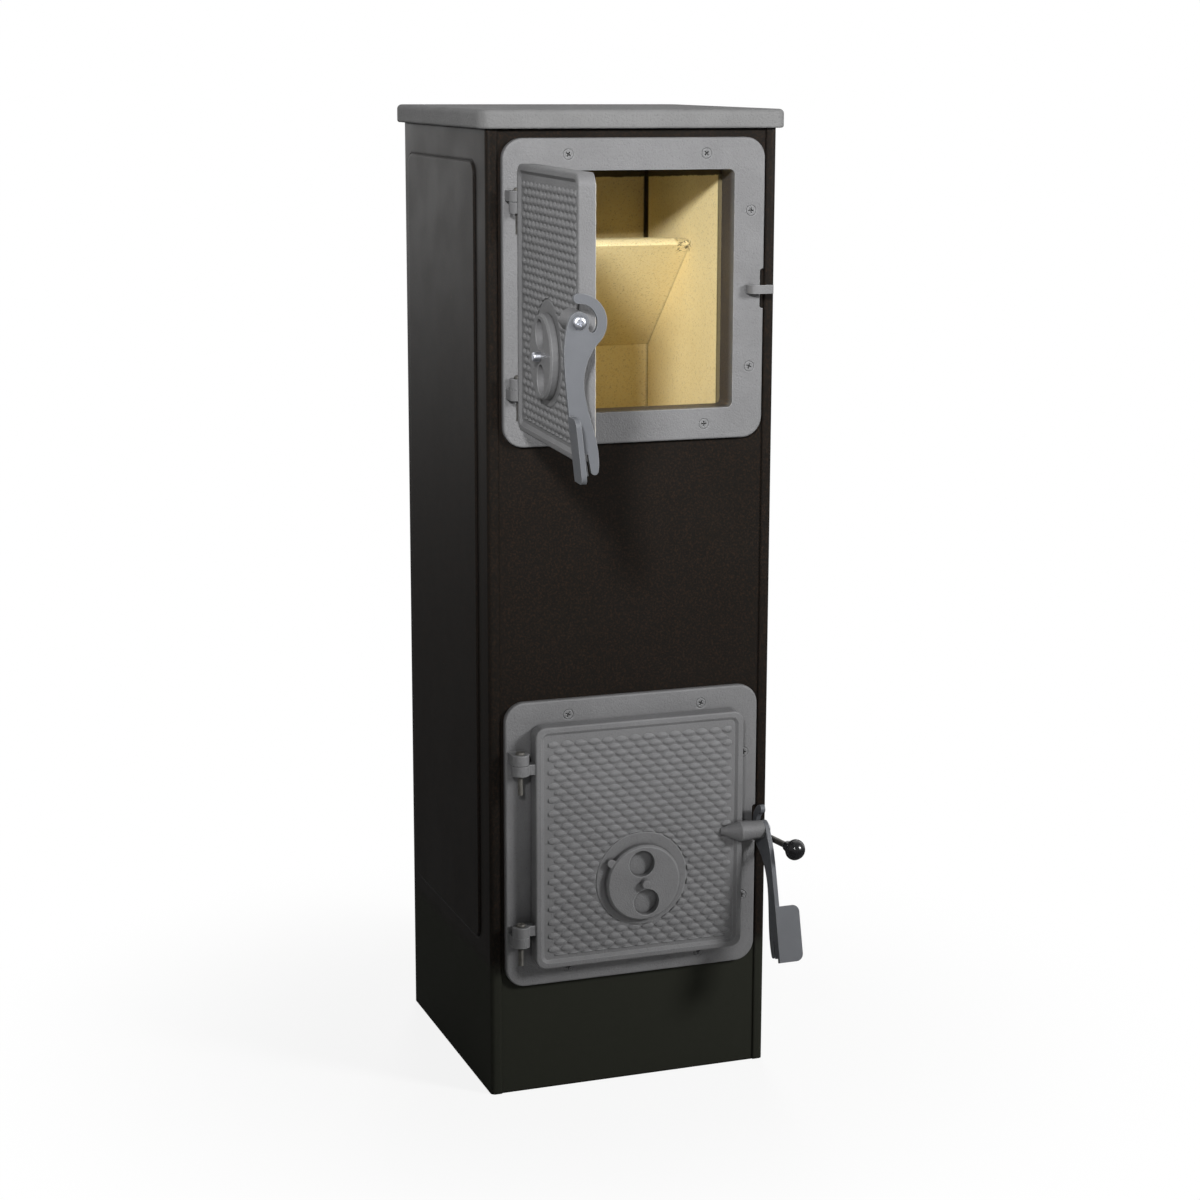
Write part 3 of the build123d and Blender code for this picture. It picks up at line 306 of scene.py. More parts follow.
def drawn_steel():
    """Bright-drawn steel rod gone dull with heat: grey-brown, finely lined along its length."""
    material, add, shader, place = new_surface("heat_dulled_steel", Metallic=0.55)
    clouds = add("TexNoise", (place, per(9), 5, 0.65))
    cloud = add("MapRange", (clouds, 0.3, 0.7), **EASED)
    colour = add("Mix", (cloud, linear("4c4a47"), linear("6a6863")), **COLOURS)
    rough = add("MapRange", (cloud, 0, 1, 0.5, 0.62), **EASED)
    # Real drawing lines are far finer; these are as coarse as it takes to show
    drawn_out = add("Mapping", {"Vector": place, "Scale": (0.05, 1, 1)})
    lines = add("TexNoise", (drawn_out, per(0.7), 3))
    soft = add("Bevel", (0.6 * MM,), samples=6)
    skin = add("Bump", {"Height": lines, "Distance": 0.02 * MM, "Normal": soft})
    connect(shader, {"Base Color": colour, "Roughness": rough, "Normal": skin})
    return material


def raw_iron():
    """Raw grey iron from a sand mould: dark, dull and coarse, with a breath of rust."""
    material, add, shader, place = new_surface("raw_cast_iron", Metallic=0.35, Roughness=0.72)
    patches = add("TexNoise", (place, per(12), 7, 0.7))
    rust = add("MapRange", (patches, 0.52, 0.72, 0, 0.6), **EASED)
    colour = add("Mix", (rust, settings("stove_finish").iron, linear("5b3d2a")), **COLOURS)
    soft = add("Bevel", (1 * MM,), samples=6)
    grain = add("TexNoise", (place, per(1), 4, 0.65))
    skin = add("Bump", {"Height": grain, "Distance": 0.3 * MM, "Normal": soft})
    connect(shader, {"Base Color": colour, "Normal": skin})
    return material


def vermiculite():
    """Vermiculite board, pressed from expanded mica with a binder.

    It gives a matt buff board with golden and pale flakes a millimetre or two across, dark
    specks between them and a slightly open, crumbly skin. The front ends are darker and soot
    darkens the joints between rear and side boards. Painted shade darkens the corners and two
    crumbled hollows, and a painted shadow of the collar darkens a band along the boards' tops.
    """
    finish = settings("stove_finish")
    material, add, shader, place = new_surface("pressed_vermiculite", Roughness=0.9,
                                               Specular_IOR_Level=0.3)
    flakes = add("TexVoronoi", (place, per(1.4)))
    drawn = add("SeparateColor", (flakes.outputs["Color"],)).outputs
    colour = finish.board
    for channel, least, share, tint in (("Red", 0.78, 0.2, finish.flake),
                                        ("Green", 0.86, 0.3, linear("f0e4c0")),
                                        ("Blue", 0.95, 0.22, linear("6d5836"))):
        chosen = add("Math", (drawn[channel], least), operation="GREATER_THAN")
        tinted = add("Math", (chosen, share), operation="MULTIPLY")
        colour = add("Mix", (tinted, colour, tint), **COLOURS)
    clouds = add("TexNoise", (place, per(70), 4))
    cloud = add("MapRange", (clouds, 0.3, 0.7, 0, 0.2), **EASED)
    colour = add("Mix", (cloud, colour, linear("d8c289")), **COLOURS)

    axes = add("SeparateXYZ", (place,)).outputs
    # Painted shadow of the roof along the top of the boards: it follows the sloping light, so its
    # edge drops towards the rear
    ragged = add("TexNoise", (place, per(9), 3))
    height = add("Math", (axes["Y"], 0.05, axes["Z"]), operation="MULTIPLY_ADD")
    height = add("Math", (ragged, 0.002, height), operation="MULTIPLY_ADD")
    soot_and_painted_shade = add("MapRange", (height, 0.9805, 0.9820, 0, 0.93), **EASED)
    front_ends = add("MapRange", (axes["Y"], -0.1205, -0.1235, 0, 0.85), **EASED)
    across = add("Math", (axes["X"],), operation="ABSOLUTE")
    beside = add("MapRange", (across, 0.1035, 0.1060, 0, 0.97), **EASED)
    behind = add("MapRange", (axes["Y"], 0.0835, 0.0875), **EASED)
    joints = add("Math", (beside, behind), operation="MULTIPLY")
    masks = [front_ends, joints, painted_corner_shade(add, 0.3)]
    # Painted shade in two small crumbled hollows: the baffle's right end and the side board above
    # it
    grain = add("TexNoise", (place, per(3.2)))
    crumbs = add("MapRange", (grain, 0.55, 0.6), **EASED)
    for spot, reach in (((0.101, -0.039, 0.907), 11 * MM), ((0.107, -0.108, 0.933), 4.5 * MM)):
        gap = add("VectorMath", (place, spot), operation="DISTANCE")
        near = add("MapRange", (gap, reach, 0.6 * reach, 0, 0.8), **EASED)
        masks.append(add("Math", (near, crumbs), operation="MULTIPLY"))
    # Darker front ends, sooty joints, painted shade in corners and hollows and the painted roof
    # shadow all darken to one brown
    for mask in masks:
        soot_and_painted_shade = add("Math", (soot_and_painted_shade, mask), operation="MAXIMUM")
    colour = add("Mix", (soot_and_painted_shade, colour, linear("2b2113")), **COLOURS)

    soft = add("Bevel", (1.5 * MM,), samples=6)
    stretched = add("Mapping", {"Vector": place, "Scale": (0.35, 1, 1)})
    streaks = add("TexNoise", (stretched, per(7)))
    pressed = add("Bump", {"Height": streaks, "Distance": 0.6 * MM, "Strength": 0.6,
                           "Normal": soft})
    flaky = add("Bump", {"Height": flakes, "Distance": 0.25 * MM, "Strength": 0.5,
                         "Normal": pressed})
    crumb = add("TexNoise", (place, per(1.8), 4, 0.6))
    skin = add("Bump", {"Height": crumb, "Distance": 0.35 * MM, "Strength": 0.7,
                        "Normal": flaky})
    connect(shader, {"Base Color": colour, "Normal": skin})
    return material


def glass_rope():
    """Braided glass-fibre rope: off-white, fuzzy and matt, with fine yarns."""
    material, add, shader, place = new_surface("glass_fibre_rope", Roughness=0.95,
                                               Sheen_Weight=0.3)
    yarn = add("TexNoise", (place, per(0.8), 3))
    # Painted shade: the low parts between the yarns are darker
    raised = add("MapRange", (yarn, 0.3, 0.7), **EASED)
    colour = add("Mix", (raised, linear("a8a294"), settings("stove_finish").rope), **COLOURS)
    fuzz = add("Bump", {"Height": yarn, "Distance": 0.2 * MM})
    connect(shader, {"Base Color": colour, "Normal": fuzz})
    return material


def phenolic():
    """Phenolic resin, moulded and tumbled: black and glossy, with faint swirls."""
    material, add, shader, place = new_surface("phenolic_knob", IOR=1.6)
    swirl = add("TexNoise", (place, per(7), 3))
    colour = add("Mix", (swirl, settings("stove_finish").knob, linear("1e1e21")), **COLOURS)
    rough = add("MapRange", (swirl, 0.3, 0.7, 0.16, 0.26), **EASED)
    soft = add("Bevel", (0.4 * MM,), samples=6)
    grain = add("TexNoise", (place, per(2.5)))
    skin = add("Bump", {"Height": grain, "Distance": 0.01 * MM, "Normal": soft})
    connect(shader, {"Base Color": colour, "Roughness": rough, "Normal": skin})
    return material


# Colour setting, sand grain and gloss of each paint, its edge radius and its share of darkening
# inside the collars
PAINTS = {
    "grey_casting_paint": ("casting", 1.8, 0.3, 1.3, 0.75),
    "top_plate_paint": ("plate", 2.6, 0.03, 2.4, 0.0),
    "handle_paint": ("handle", 0.6, 0.4, 0.7, 0.0),
}
OTHER_FINISHES = {
    "vitreous_enamel": enamel,
    "zinc_plate": zinc_plate,
    "rolled_steel": rolled_steel,
    "heat_dulled_steel": drawn_steel,
    "raw_cast_iron": raw_iron,
    "pressed_vermiculite": vermiculite,
    "glass_fibre_rope": glass_rope,
    "phenolic_knob": phenolic,
}


def surface(name):
    """A finish by its name, made the first time that it is asked for."""
    if name in bpy.data.materials:
        return bpy.data.materials[name]
    if name in PAINTS:
        return casting_paint(name, *PAINTS[name])
    return OTHER_FINISHES[name]()


# Meshes and pieces


def dress(finish, *names):
    """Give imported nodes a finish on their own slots, with their meshes left alone."""
    for name in names:
        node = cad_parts[name]
        if not node.material_slots:
            raise RuntimeError(f"{name} has no material slot")
        for holder in node.material_slots:
            holder.link = "OBJECT"
            holder.material = surface(finish)


def new_piece(name, mesh, material=None):
    """A mesh object of the scene, at the origin."""
    piece = bpy.data.objects.new(name, mesh)
    bpy.context.scene.collection.objects.link(piece)
    if material:
        mesh.materials.append(material)
    return piece


def settle(piece, body, slot, *nodes):
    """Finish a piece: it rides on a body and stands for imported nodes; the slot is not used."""
    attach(piece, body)
    if nodes:
        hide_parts(*nodes)


def smooth(mesh, degrees):
    """Shade a mesh smoothly across edges flatter than this angle."""
    mesh.polygons.foreach_set("use_smooth", [True] * len(mesh.polygons))
    mesh.set_sharp_from_angle(angle=math.radians(degrees))


def as_mesh(made, name):
    """The mesh of a shape that is ready."""
    mesh = bpy.data.meshes.new(name)
    made.to_mesh(mesh)
    made.free()
    return mesh


def closed_mesh(made, name, degrees):
    """The mesh of a closed shape, its faces turned outwards and smooth below an angle."""
    bmesh.ops.recalc_face_normals(made, faces=made.faces)
    mesh = as_mesh(made, name)
    smooth(mesh, degrees)
    return mesh


def bridge(made, first, second):
    """Join two closed rings of as many vertices by a band of faces."""
    for i, here in enumerate(first):
        j = (i + 1) % len(first)
        made.faces.new((here, second[i], second[j], first[j]))


def swing_open():
    """Matrix that opens the upper door from its shut place."""
    return (Matrix.Translation(HINGE) @ Matrix.Rotation(-OPEN_ANGLE, 4, "Z")
            @ Matrix.Translation(-HINGE))


def geometry_tree(name, **inputs):
    """An empty geometry tree with these kinds of input: the tree, its adder, its inputs."""
    tree = bpy.data.node_groups.new(name, "GeometryNodeTree")
    tree.interface.new_socket("Geometry", in_out="OUTPUT", socket_type="NodeSocketGeometry")
    for label, kind in {"Geometry": "Geometry", **inputs}.items():
        tree.interface.new_socket(label.replace("_", " "), in_out="INPUT",
                                  socket_type="NodeSocket" + kind)
    add = partial(add_node, tree)
    return tree, add, add("NodeGroupInput").outputs


def finish_tree(add, geometry, material):
    """End a geometry tree in realised instances with one material."""
    real = add("GeometryNodeRealizeInstances", (geometry,))
    painted = add("GeometryNodeSetMaterial", {"Geometry": real, "Material": material})
    add("NodeGroupOutput", (painted,))


def run_tree(tree, name, places, shape, **values):
    """Run a tree on points at some places, with its shape and values: a plain mesh."""
    points = bpy.data.meshes.new("places")
    points.from_pydata(places, [], [])
    base = new_piece("base", points)
    values["Shape"] = new_piece("shape", shape)
    modifier = base.modifiers.new(tree.name, "NODES")
    modifier.node_group = tree
    for item in tree.interface.items_tree:
        if item.name.replace(" ", "_") in values:
            modifier[item.identifier] = values[item.name.replace(" ", "_")]
    graph = bpy.context.evaluated_depsgraph_get()
    mesh = bpy.data.meshes.new_from_object(base.evaluated_get(graph), depsgraph=graph)
    mesh.name = name
    bpy.data.objects.remove(base)
    bpy.data.objects.remove(values["Shape"])
    bpy.data.meshes.remove(points)
    return mesh


# Woven relief of the doors


def lens_bump(length, width, height):
    """Closed lens-shaped bump on the xy plane: pointed ends, rounded back."""
    stations, across, sunk = 6, 4, 0.3 * MM
    made = bmesh.new()
    rows = []
    for i in range(stations + 1):
        u = -1 + 2 * i / stations
        if abs(u) == 1:
            tip = made.verts.new((u * length / 2, 0, -sunk))
            rows.append([tip] * (across + 1))
            continue
        half = width / 2 * (1 - abs(u) ** 2.2)
        crown = height * (1 - abs(u) ** 3.0) ** 0.7
        row = []
        for j in range(across + 1):
            v = -1 + 2 * j / across
            z = crown * (1 - abs(v) ** 2.4) ** 0.75 if abs(v) < 1 else -sunk
            row.append(made.verts.new((u * length / 2, v * half, z)))
        rows.append(row)
    for first, second in zip(rows, rows[1:]):
        for j in range(across):
            corners = [first[j], second[j], second[j + 1], first[j + 1]]
            made.faces.new(list(dict.fromkeys(corners)))
    under = [row[0] for row in rows] + [row[-1] for row in reversed(rows[1:-1])]
    made.faces.new(list(reversed(under)))
    return closed_mesh(made, "lens_bump", 60)


def relief_tree():
    """Two interleaved lattices of bumps, kept inside the field and clear of the boss."""
    tree, add, get = geometry_tree(
        "woven relief", Shape="Object", Material="Material", Columns="Int", Rows="Int",
        Column_pitch="Float", Row_pitch="Float", Middle="Vector", Low_corner="Vector",
        High_corner="Vector", Boss="Vector", Boss_radius="Float")

    def lattice(columns, lift):
        """Points in all rows and this many columns, lifted by a share of the row pitch."""
        gaps = [add("Math", (count, 1), operation="SUBTRACT") for count in (columns, get["Rows"])]
        width = add("Math", (gaps[0], get["Column pitch"]), operation="MULTIPLY")
        height = add("Math", (gaps[1], get["Row pitch"]), operation="MULTIPLY")
        grid = add("GeometryNodeMeshGrid", (width, height, columns, get["Rows"]))
        lifted = add("Math", (get["Row pitch"], lift), operation="MULTIPLY")
        shift = add("CombineXYZ", (0, lifted))
        total = add("VectorMath", (shift, get["Middle"]), operation="ADD")
        return add("GeometryNodeTransform", {"Geometry": grid, "Translation": total})

    both = add("GeometryNodeJoinGeometry", (lattice(get["Columns"], 0),))
    fewer = add("Math", (get["Columns"], 1), operation="SUBTRACT")
    connect(both, (lattice(fewer, -0.5),))

    place = add("GeometryNodeInputPosition")
    flat = add("VectorMath", (place, (1, 1, 0)), operation="MULTIPLY")
    gap = add("VectorMath", (flat, get["Boss"]), operation="SUBTRACT")
    distance = add("VectorMath", (gap,), operation="LENGTH")

    # Bumps whose middle is well inside the boss go; the others are squashed onto its rim
    inner = add("Math", (get["Boss radius"], 3 * MM), operation="SUBTRACT")
    covered = add("Math", (distance, inner), operation="LESS_THAN")
    free = add("GeometryNodeDeleteGeometry", (both, covered))
    shape = add("GeometryNodeObjectInfo", (get["Shape"],)).outputs["Geometry"]
    placed = add("GeometryNodeInstanceOnPoints", {"Points": free, "Instance": shape})
    real = add("GeometryNodeRealizeInstances", (placed,))
    above = add("VectorMath", (place, get["Low corner"]), operation="MAXIMUM")
    inside = add("VectorMath", (above, get["High corner"]), operation="MINIMUM")
    clamped = add("GeometryNodeSetPosition", {"Geometry": real, "Position": inside})
    direction = add("VectorMath", (gap,), operation="NORMALIZE")
    rim = add("VectorMath", (direction, get["Boss radius"]), operation="SCALE")
    on_rim = add("VectorMath", (rim, get["Boss"]), operation="ADD")
    height = add("VectorMath", (place, (0, 0, 1)), operation="MULTIPLY")
    edge = add("VectorMath", (on_rim, height), operation="ADD")
    within = add("Math", (distance, get["Boss radius"]), operation="LESS_THAN")
    cut = add("GeometryNodeSetPosition", {"Geometry": clamped, "Selection": within,
                                          "Position": edge})
    finish_tree(add, cut, get["Material"])
    return tree


class STOVE_OT_relief(bpy.types.Operator):
    """Woven lens-shaped relief on both doors, cut off round the regulator's boss"""

    bl_idname = "stove.relief"
    bl_label = "Door relief"

    def execute(self, context):
        sizes = settings("stove_relief")
        bump = lens_bump(sizes.bump_length, sizes.bump_width, sizes.bump_height)
        # Laid out flat, with the door's height along y, then stood on the door's field
        lower = run_tree(
            relief_tree(), "lower_door_relief", [], bump,
            Material=surface("grey_casting_paint"), Columns=sizes.columns, Rows=sizes.rows,
            Column_pitch=sizes.column_pitch, Row_pitch=sizes.row_pitch,
            Middle=(0.0031, 0.0002, 0), Low_corner=(-0.1024, -0.1195, -1),
            High_corner=(0.1075, 0.1195, 1), Boss=(0.0036, -0.0434, 0),
            Boss_radius=sizes.boss_radius)
        field = Matrix.Translation((0, -0.1782, CENTRE["lower"]))
        lower.transform(field @ Matrix.Rotation(math.radians(90), 4, "X"))
        smooth(lower, 60)
        upper = lower.copy()
        upper.name = "upper_door_relief"
        lift = Matrix.Translation((0, 0, CENTRE["upper"] - CENTRE["lower"]))
        upper.transform(swing_open() @ lift)
        for level, mesh in zip(LEVELS, (lower, upper)):
            piece = new_piece(f"{level}_door_relief", mesh)
            settle(piece, f"{level}_door", "painted_castings")
        return {"FINISHED"}


# Screws and pins


def circle_point(radius, turn, z):
    """Point this share of a turn round the z axis."""
    return radius * math.cos(2 * math.pi * turn), radius * math.sin(2 * math.pi * turn), z


def cross_head(name, profile, recess, depth, sides=20):
    """Screw of radii and heights, from the rim of its flat top down, with a cross recess."""
    made = bmesh.new()
    rings = [[made.verts.new(circle_point(radius, i / sides, z)) for i in range(sides)]
             for radius, z in profile]
    for first, second in zip(rings, rings[1:]):
        bridge(made, first, second)
    made.faces.new(rings[-1])
    top = profile[0][1]
    half = recess * 0.24
    outline = []
    for turn in range(4):
        spin = Matrix.Rotation(turn * math.pi / 2, 3, "Z")
        outline += [spin @ Vector((x, y, 0))
                    for x, y in ((recess, -half), (recess, half), (half, half))]
    mouth = [made.verts.new((p.x, p.y, top)) for p in outline]
    floor = [made.verts.new((p.x * 0.5, p.y * 0.8, top - depth)) for p in outline]
    bridge(made, mouth, floor)
    made.faces.new(floor)
    edges = []
    for ring in (rings[0], mouth):
        for here, there in zip(ring, ring[1:] + ring[:1]):
            edges.append(made.edges.get((here, there)) or made.edges.new((here, there)))
    bmesh.ops.triangle_fill(made, use_beauty=True, edges=edges)
    return closed_mesh(made, name, 35)


def threaded_rod(name, top, bottom, core, crest, pitch):
    """Threaded shank along z, from top down to bottom, closed at both ends."""
    sides = 12
    made = bmesh.new()
    rows = 2 * max(1, round((top - bottom) / pitch)) + 2
    columns = []
    for i in range(sides):
        column = []
        for row in range(rows + 1):
            z = min(max(bottom + (row / 2 + i / sides - 1) * pitch, bottom), top)
            radius = crest if row % 2 else core
            column.append(made.verts.new(circle_point(radius, i / sides, z)))
        columns.append(column)
    for i, here in enumerate(columns):
        there = columns[(i + 1) % sides]
        # Past the last column the thread has climbed by one pitch, which is two rows
        climb = 0 if i + 1 < sides else 2
        for row in range(rows - climb):
            made.faces.new((here[row], there[row + climb], there[row + 1 + climb],
                            here[row + 1]))
    bmesh.ops.holes_fill(made, edges=[e for e in made.edges if e.is_boundary], sides=0)
    bmesh.ops.remove_doubles(made, verts=made.verts, dist=1e-6)
    return closed_mesh(made, name, 50)


def fastener_tree():
    """Puts a screw at each point of the helper mesh, turned to face out and spun at random."""
    tree, add, get = geometry_tree("fasteners", Shape="Object", Material="Material",
                                   Facing="Vector", Seed="Int")
    points = add("GeometryNodeMeshToPoints", (get["Geometry"],))
    shape = add("GeometryNodeObjectInfo", (get["Shape"],)).outputs["Geometry"]
    facing = add("FunctionNodeEulerToRotation", (get["Facing"],))
    placed = add("GeometryNodeInstanceOnPoints", {"Points": points, "Instance": shape,
                                                  "Rotation": facing})
    angle = add("FunctionNodeRandomValue", {"Max": math.pi, "Seed": get["Seed"]},
                data_type="FLOAT")
    turn = add("CombineXYZ", {"Z": angle})
    spun = add("GeometryNodeRotateInstances", {"Instances": placed, "Rotation": turn,
                                               "Local Space": True})
    finish_tree(add, spun, get["Material"])
    return tree


def place_screws(name, screw, places, facing, finish, seed):
    """Mesh of one kind of screw at some places, facing one way."""
    tree = bpy.data.node_groups.get("fasteners") or fastener_tree()
    return run_tree(tree, name, places, screw, Material=surface(finish), Facing=facing,
                    Seed=seed)


FACING_FRONT = (math.radians(90), 0.0, 0.0)
FACING_BACK = (math.radians(-90), 0.0, 0.0)
FACING_RIGHT = (0.0, math.radians(90), 0.0)
FACING_UP = (0.0, 0.0, 0.0)
# Radii of an M6 thread at its crest and its core
M6_CREST = 2.95 * MM
M6_CORE = 2.5 * MM


class STOVE_OT_frame_screws(bpy.types.Operator):
    """Countersunk cross-head screws in both door frames, painted over with the frames"""

    bl_idname = "stove.frame_screws"
    bl_label = "Frame screws"

    def execute(self, context):
        r = settings("stove_fasteners").countersunk
        screw = cross_head("countersunk_screw", [
            (r * 0.9, 0.0), (r, -0.0005), (0.0031, -0.003), (0.003, -0.0118),
        ], recess=r * 0.58, depth=0.0026)
        # Four screws above and below the opening, two beside it in the right edge
        face, middle, half_width, half_height = -0.161, 0.002, 0.076, 0.1415
        right_edge, half_gap = 0.129, 0.082
        for seed, level in enumerate(LEVELS):
            centre = CENTRE[level]
            places = [(middle + side * half_width, face, centre + end * half_height)
                      for end in (1, -1) for side in (-1, 1)]
            places += [(right_edge, face, centre + end * half_gap) for end in (1, -1)]
            mesh = place_screws(f"{level}_frame_screws_set", screw, places, FACING_FRONT,
                                "grey_casting_paint", seed)
            piece = new_piece(f"{level}_frame_screw_set", mesh)
            settle(piece, STOVE, "zinc", f"{level}_frame_screws")
        return {"FINISHED"}


class STOVE_OT_hinge_pins(bpy.types.Operator):
    """Pan-head screws used as hinge pins, with their threads showing below the lugs"""

    bl_idname = "stove.hinge_pins"
    bl_label = "Hinge pins"

    def execute(self, context):
        sizes = settings("stove_fasteners")
        r = sizes.pan
        plain_end, tip = -0.022, -0.044
        head = cross_head("pin_head", [
            (r * 0.62, 0.0029), (r * 0.86, 0.0024), (r * 0.98, 0.0012), (r, 0.0),
            (M6_CREST, 0.0), (M6_CREST, plain_end),
        ], recess=r * 0.55, depth=0.0018)
        shank = threaded_rod("pin_thread", plain_end - 0.1 * MM, tip, M6_CORE, M6_CREST,
                             sizes.thread_pitch)
        made = bmesh.new()
        made.from_mesh(head)
        made.from_mesh(shank)
        pin = as_mesh(made, "hinge_pin")
        smooth(pin, 35)
        half_spacing, lug_height, seat = 0.095, 0.011, 0.3 * MM
        for level in LEVELS:
            places = [(HINGE.x, HINGE.y, CENTRE[level] + end * half_spacing + lug_height + seat)
                      for end in (1, -1)]
            mesh = place_screws(f"{level}_hinge_pin_set", pin, places, FACING_UP,
                                "heat_dulled_steel", seed=7)
            piece = new_piece(f"{level}_hinge_pin_set", mesh)
            settle(piece, STOVE, "zinc", f"{level}_hinge_pins")
        return {"FINISHED"}


class STOVE_OT_handle_screws(bpy.types.Operator):
    """Bright pan-head screws that the door handles turn on"""

    bl_idname = "stove.handle_screws"
    bl_label = "Handle screws"

    def execute(self, context):
        r = settings("stove_fasteners").pivot
        screw = cross_head("pivot_screw", [
            (r * 0.55, 0.0034), (r * 0.8, 0.0029), (r * 0.96, 0.0017), (r, 0.0003),
            (r * 0.97, 0.0), (M6_CREST, 0.0), (M6_CREST, -0.0212),
        ], recess=r * 0.5, depth=0.002)
        boss_end, strip, gap, depth = 0.1415, 5 * MM, 0.1 * MM, -0.1863
        for level in LEVELS:
            place = (boss_end + strip + gap, depth, CENTRE[level])
            mesh = place_screws(f"{level}_pivot_screw", screw, [place], FACING_RIGHT,
                                "zinc_plate", seed=11)
            if level == "upper":
                mesh.transform(swing_open())
            piece = new_piece(f"{level}_pivot_screw", mesh)
            settle(piece, f"{level}_door", "zinc", f"{level}_handle_screw")
        return {"FINISHED"}


class STOVE_OT_sheet_screws(bpy.types.Operator):
    """Pan-head screws of the rear panel and of the flue flange"""

    bl_idname = "stove.sheet_screws"
    bl_label = "Sheet screws"

    def execute(self, context):
        r = settings("stove_fasteners").sheet
        screw = cross_head("sheet_screw", [
            (r * 0.55, 0.002), (r * 0.85, 0.0015), (r, 0.0003), (r * 0.98, 0.0),
            (0.0019, 0.0), (0.0019, -0.0069),
        ], recess=r * 0.5, depth=0.0012, sides=16)
        panel, half_width, height, margin, rows = 0.155, 0.1525, 1.036, 0.0518, 4
        pitch = (height - 2 * margin) / (rows - 1)
        rear = [(side * half_width, panel, margin + row * pitch)
                for side in (-1, 1) for row in range(rows)]
        flange, circle, centre = 0.1243, 0.067, 0.832
        offset = circle * math.sqrt(0.5)
        flue = [(x * offset, flange, centre + z * offset) for x in (-1, 1) for z in (-1, 1)]
        for seed, name, nodes, places in ((5, "rear_panel_screw_set", "rear_panel_screws", rear),
                                          (6, "flue_screw_set", "flue_screws", flue)):
            mesh = place_screws(name, screw, places, FACING_BACK, "zinc_plate", seed)
            settle(new_piece(name, mesh), STOVE, "zinc", nodes)
        return {"FINISHED"}


# Sheets, castings and boards


class STOVE_OT_casing(bpy.types.Operator):
    """Enamelled casing sheets and base tray, the left field pressed outwards"""

    bl_idname = "stove.casing"
    bl_label = "Casing"

    def execute(self, context):
        dress("vitreous_enamel", "base_frame", "right_side_panel", "front_panel", "rear_panel")
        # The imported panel's field stands in by its depth; here it stands out by as much
        depth, sheet, fold, near = 2 * MM, 1.5 * MM, 12 * MM, 0.2 * MM
        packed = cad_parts["left_side_panel"].data
        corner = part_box("left_side_panel")[0]
        loose = bpy.data.meshes.new("loose_triangles")
        loose.from_pydata([vertex.co for vertex in packed.vertices], [],
                          [list(face.vertices) for face in packed.polygons])
        made = bmesh.new()
        made.from_mesh(loose)
        bpy.data.meshes.remove(loose)
        bmesh.ops.remove_doubles(made, verts=made.verts, dist=1e-6)
        for vertex in made.verts:
            inward = vertex.co.x - corner.x
            off_field = min(abs(inward - depth), abs(inward - depth - sheet))
            if abs(vertex.co.y) < -corner.y - fold and off_field < near:
                vertex.co.x -= 2 * depth
        mesh = as_mesh(made, "pressed_left_panel")
        smooth(mesh, 30)
        piece = new_piece("pressed_left_panel", mesh, surface("vitreous_enamel"))
        settle(piece, STOVE, "casing_enamel", "left_side_panel")
        return {"FINISHED"}


class STOVE_OT_top_plate(bpy.types.Operator):
    """Cast top plate in grey stove paint"""

    bl_idname = "stove.top_plate"
    bl_label = "Top plate"

    def execute(self, context):
        dress("top_plate_paint", "top_plate")
        return {"FINISHED"}


class STOVE_OT_castings(bpy.types.Operator):
    """Painted doors, frames, regulators and handles"""

    bl_idname = "stove.castings"
    bl_label = "Doors and frames"

    def execute(self, context):
        for level in LEVELS:
            dress("grey_casting_paint", f"{level}_door_frame", f"{level}_door",
                  f"{level}_regulator")
            dress("handle_paint", f"{level}_handle")
        dress("grey_casting_paint", "lower_regulator_screw")
        dress("zinc_plate", "upper_regulator_screw")
        return {"FINISHED"}


class STOVE_OT_firebox(bpy.types.Operator):
    """Bare steel firebox, rails, shaft, lever, ash pan and flue spigot"""

    bl_idname = "stove.firebox"
    bl_label = "Firebox steel"

    def execute(self, context):
        dress("rolled_steel", "firebox_shell", "ash_floor", "left_bed_rail", "right_bed_rail",
              "grate_shaft", "shaft_bush", "ash_pan", "flue_spigot")
        dress("heat_dulled_steel", "riddling_lever")
        return {"FINISHED"}


class STOVE_OT_grate(bpy.types.Operator):
    """Raw cast grate and its bed"""

    bl_idname = "stove.grate"
    bl_label = "Grate"

    def execute(self, context):
        dress("raw_cast_iron", "grate", "grate_bed")
        return {"FINISHED"}


class STOVE_OT_lining(bpy.types.Operator):
    """Pressed vermiculite boards of the firebox"""

    bl_idname = "stove.lining"
    bl_label = "Lining boards"

    def execute(self, context):
        boards = [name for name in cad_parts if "lining" in name]
        if not boards:
            raise RuntimeError("the packed model has no lining boards")
        dress("pressed_vermiculite", *boards)
        return {"FINISHED"}


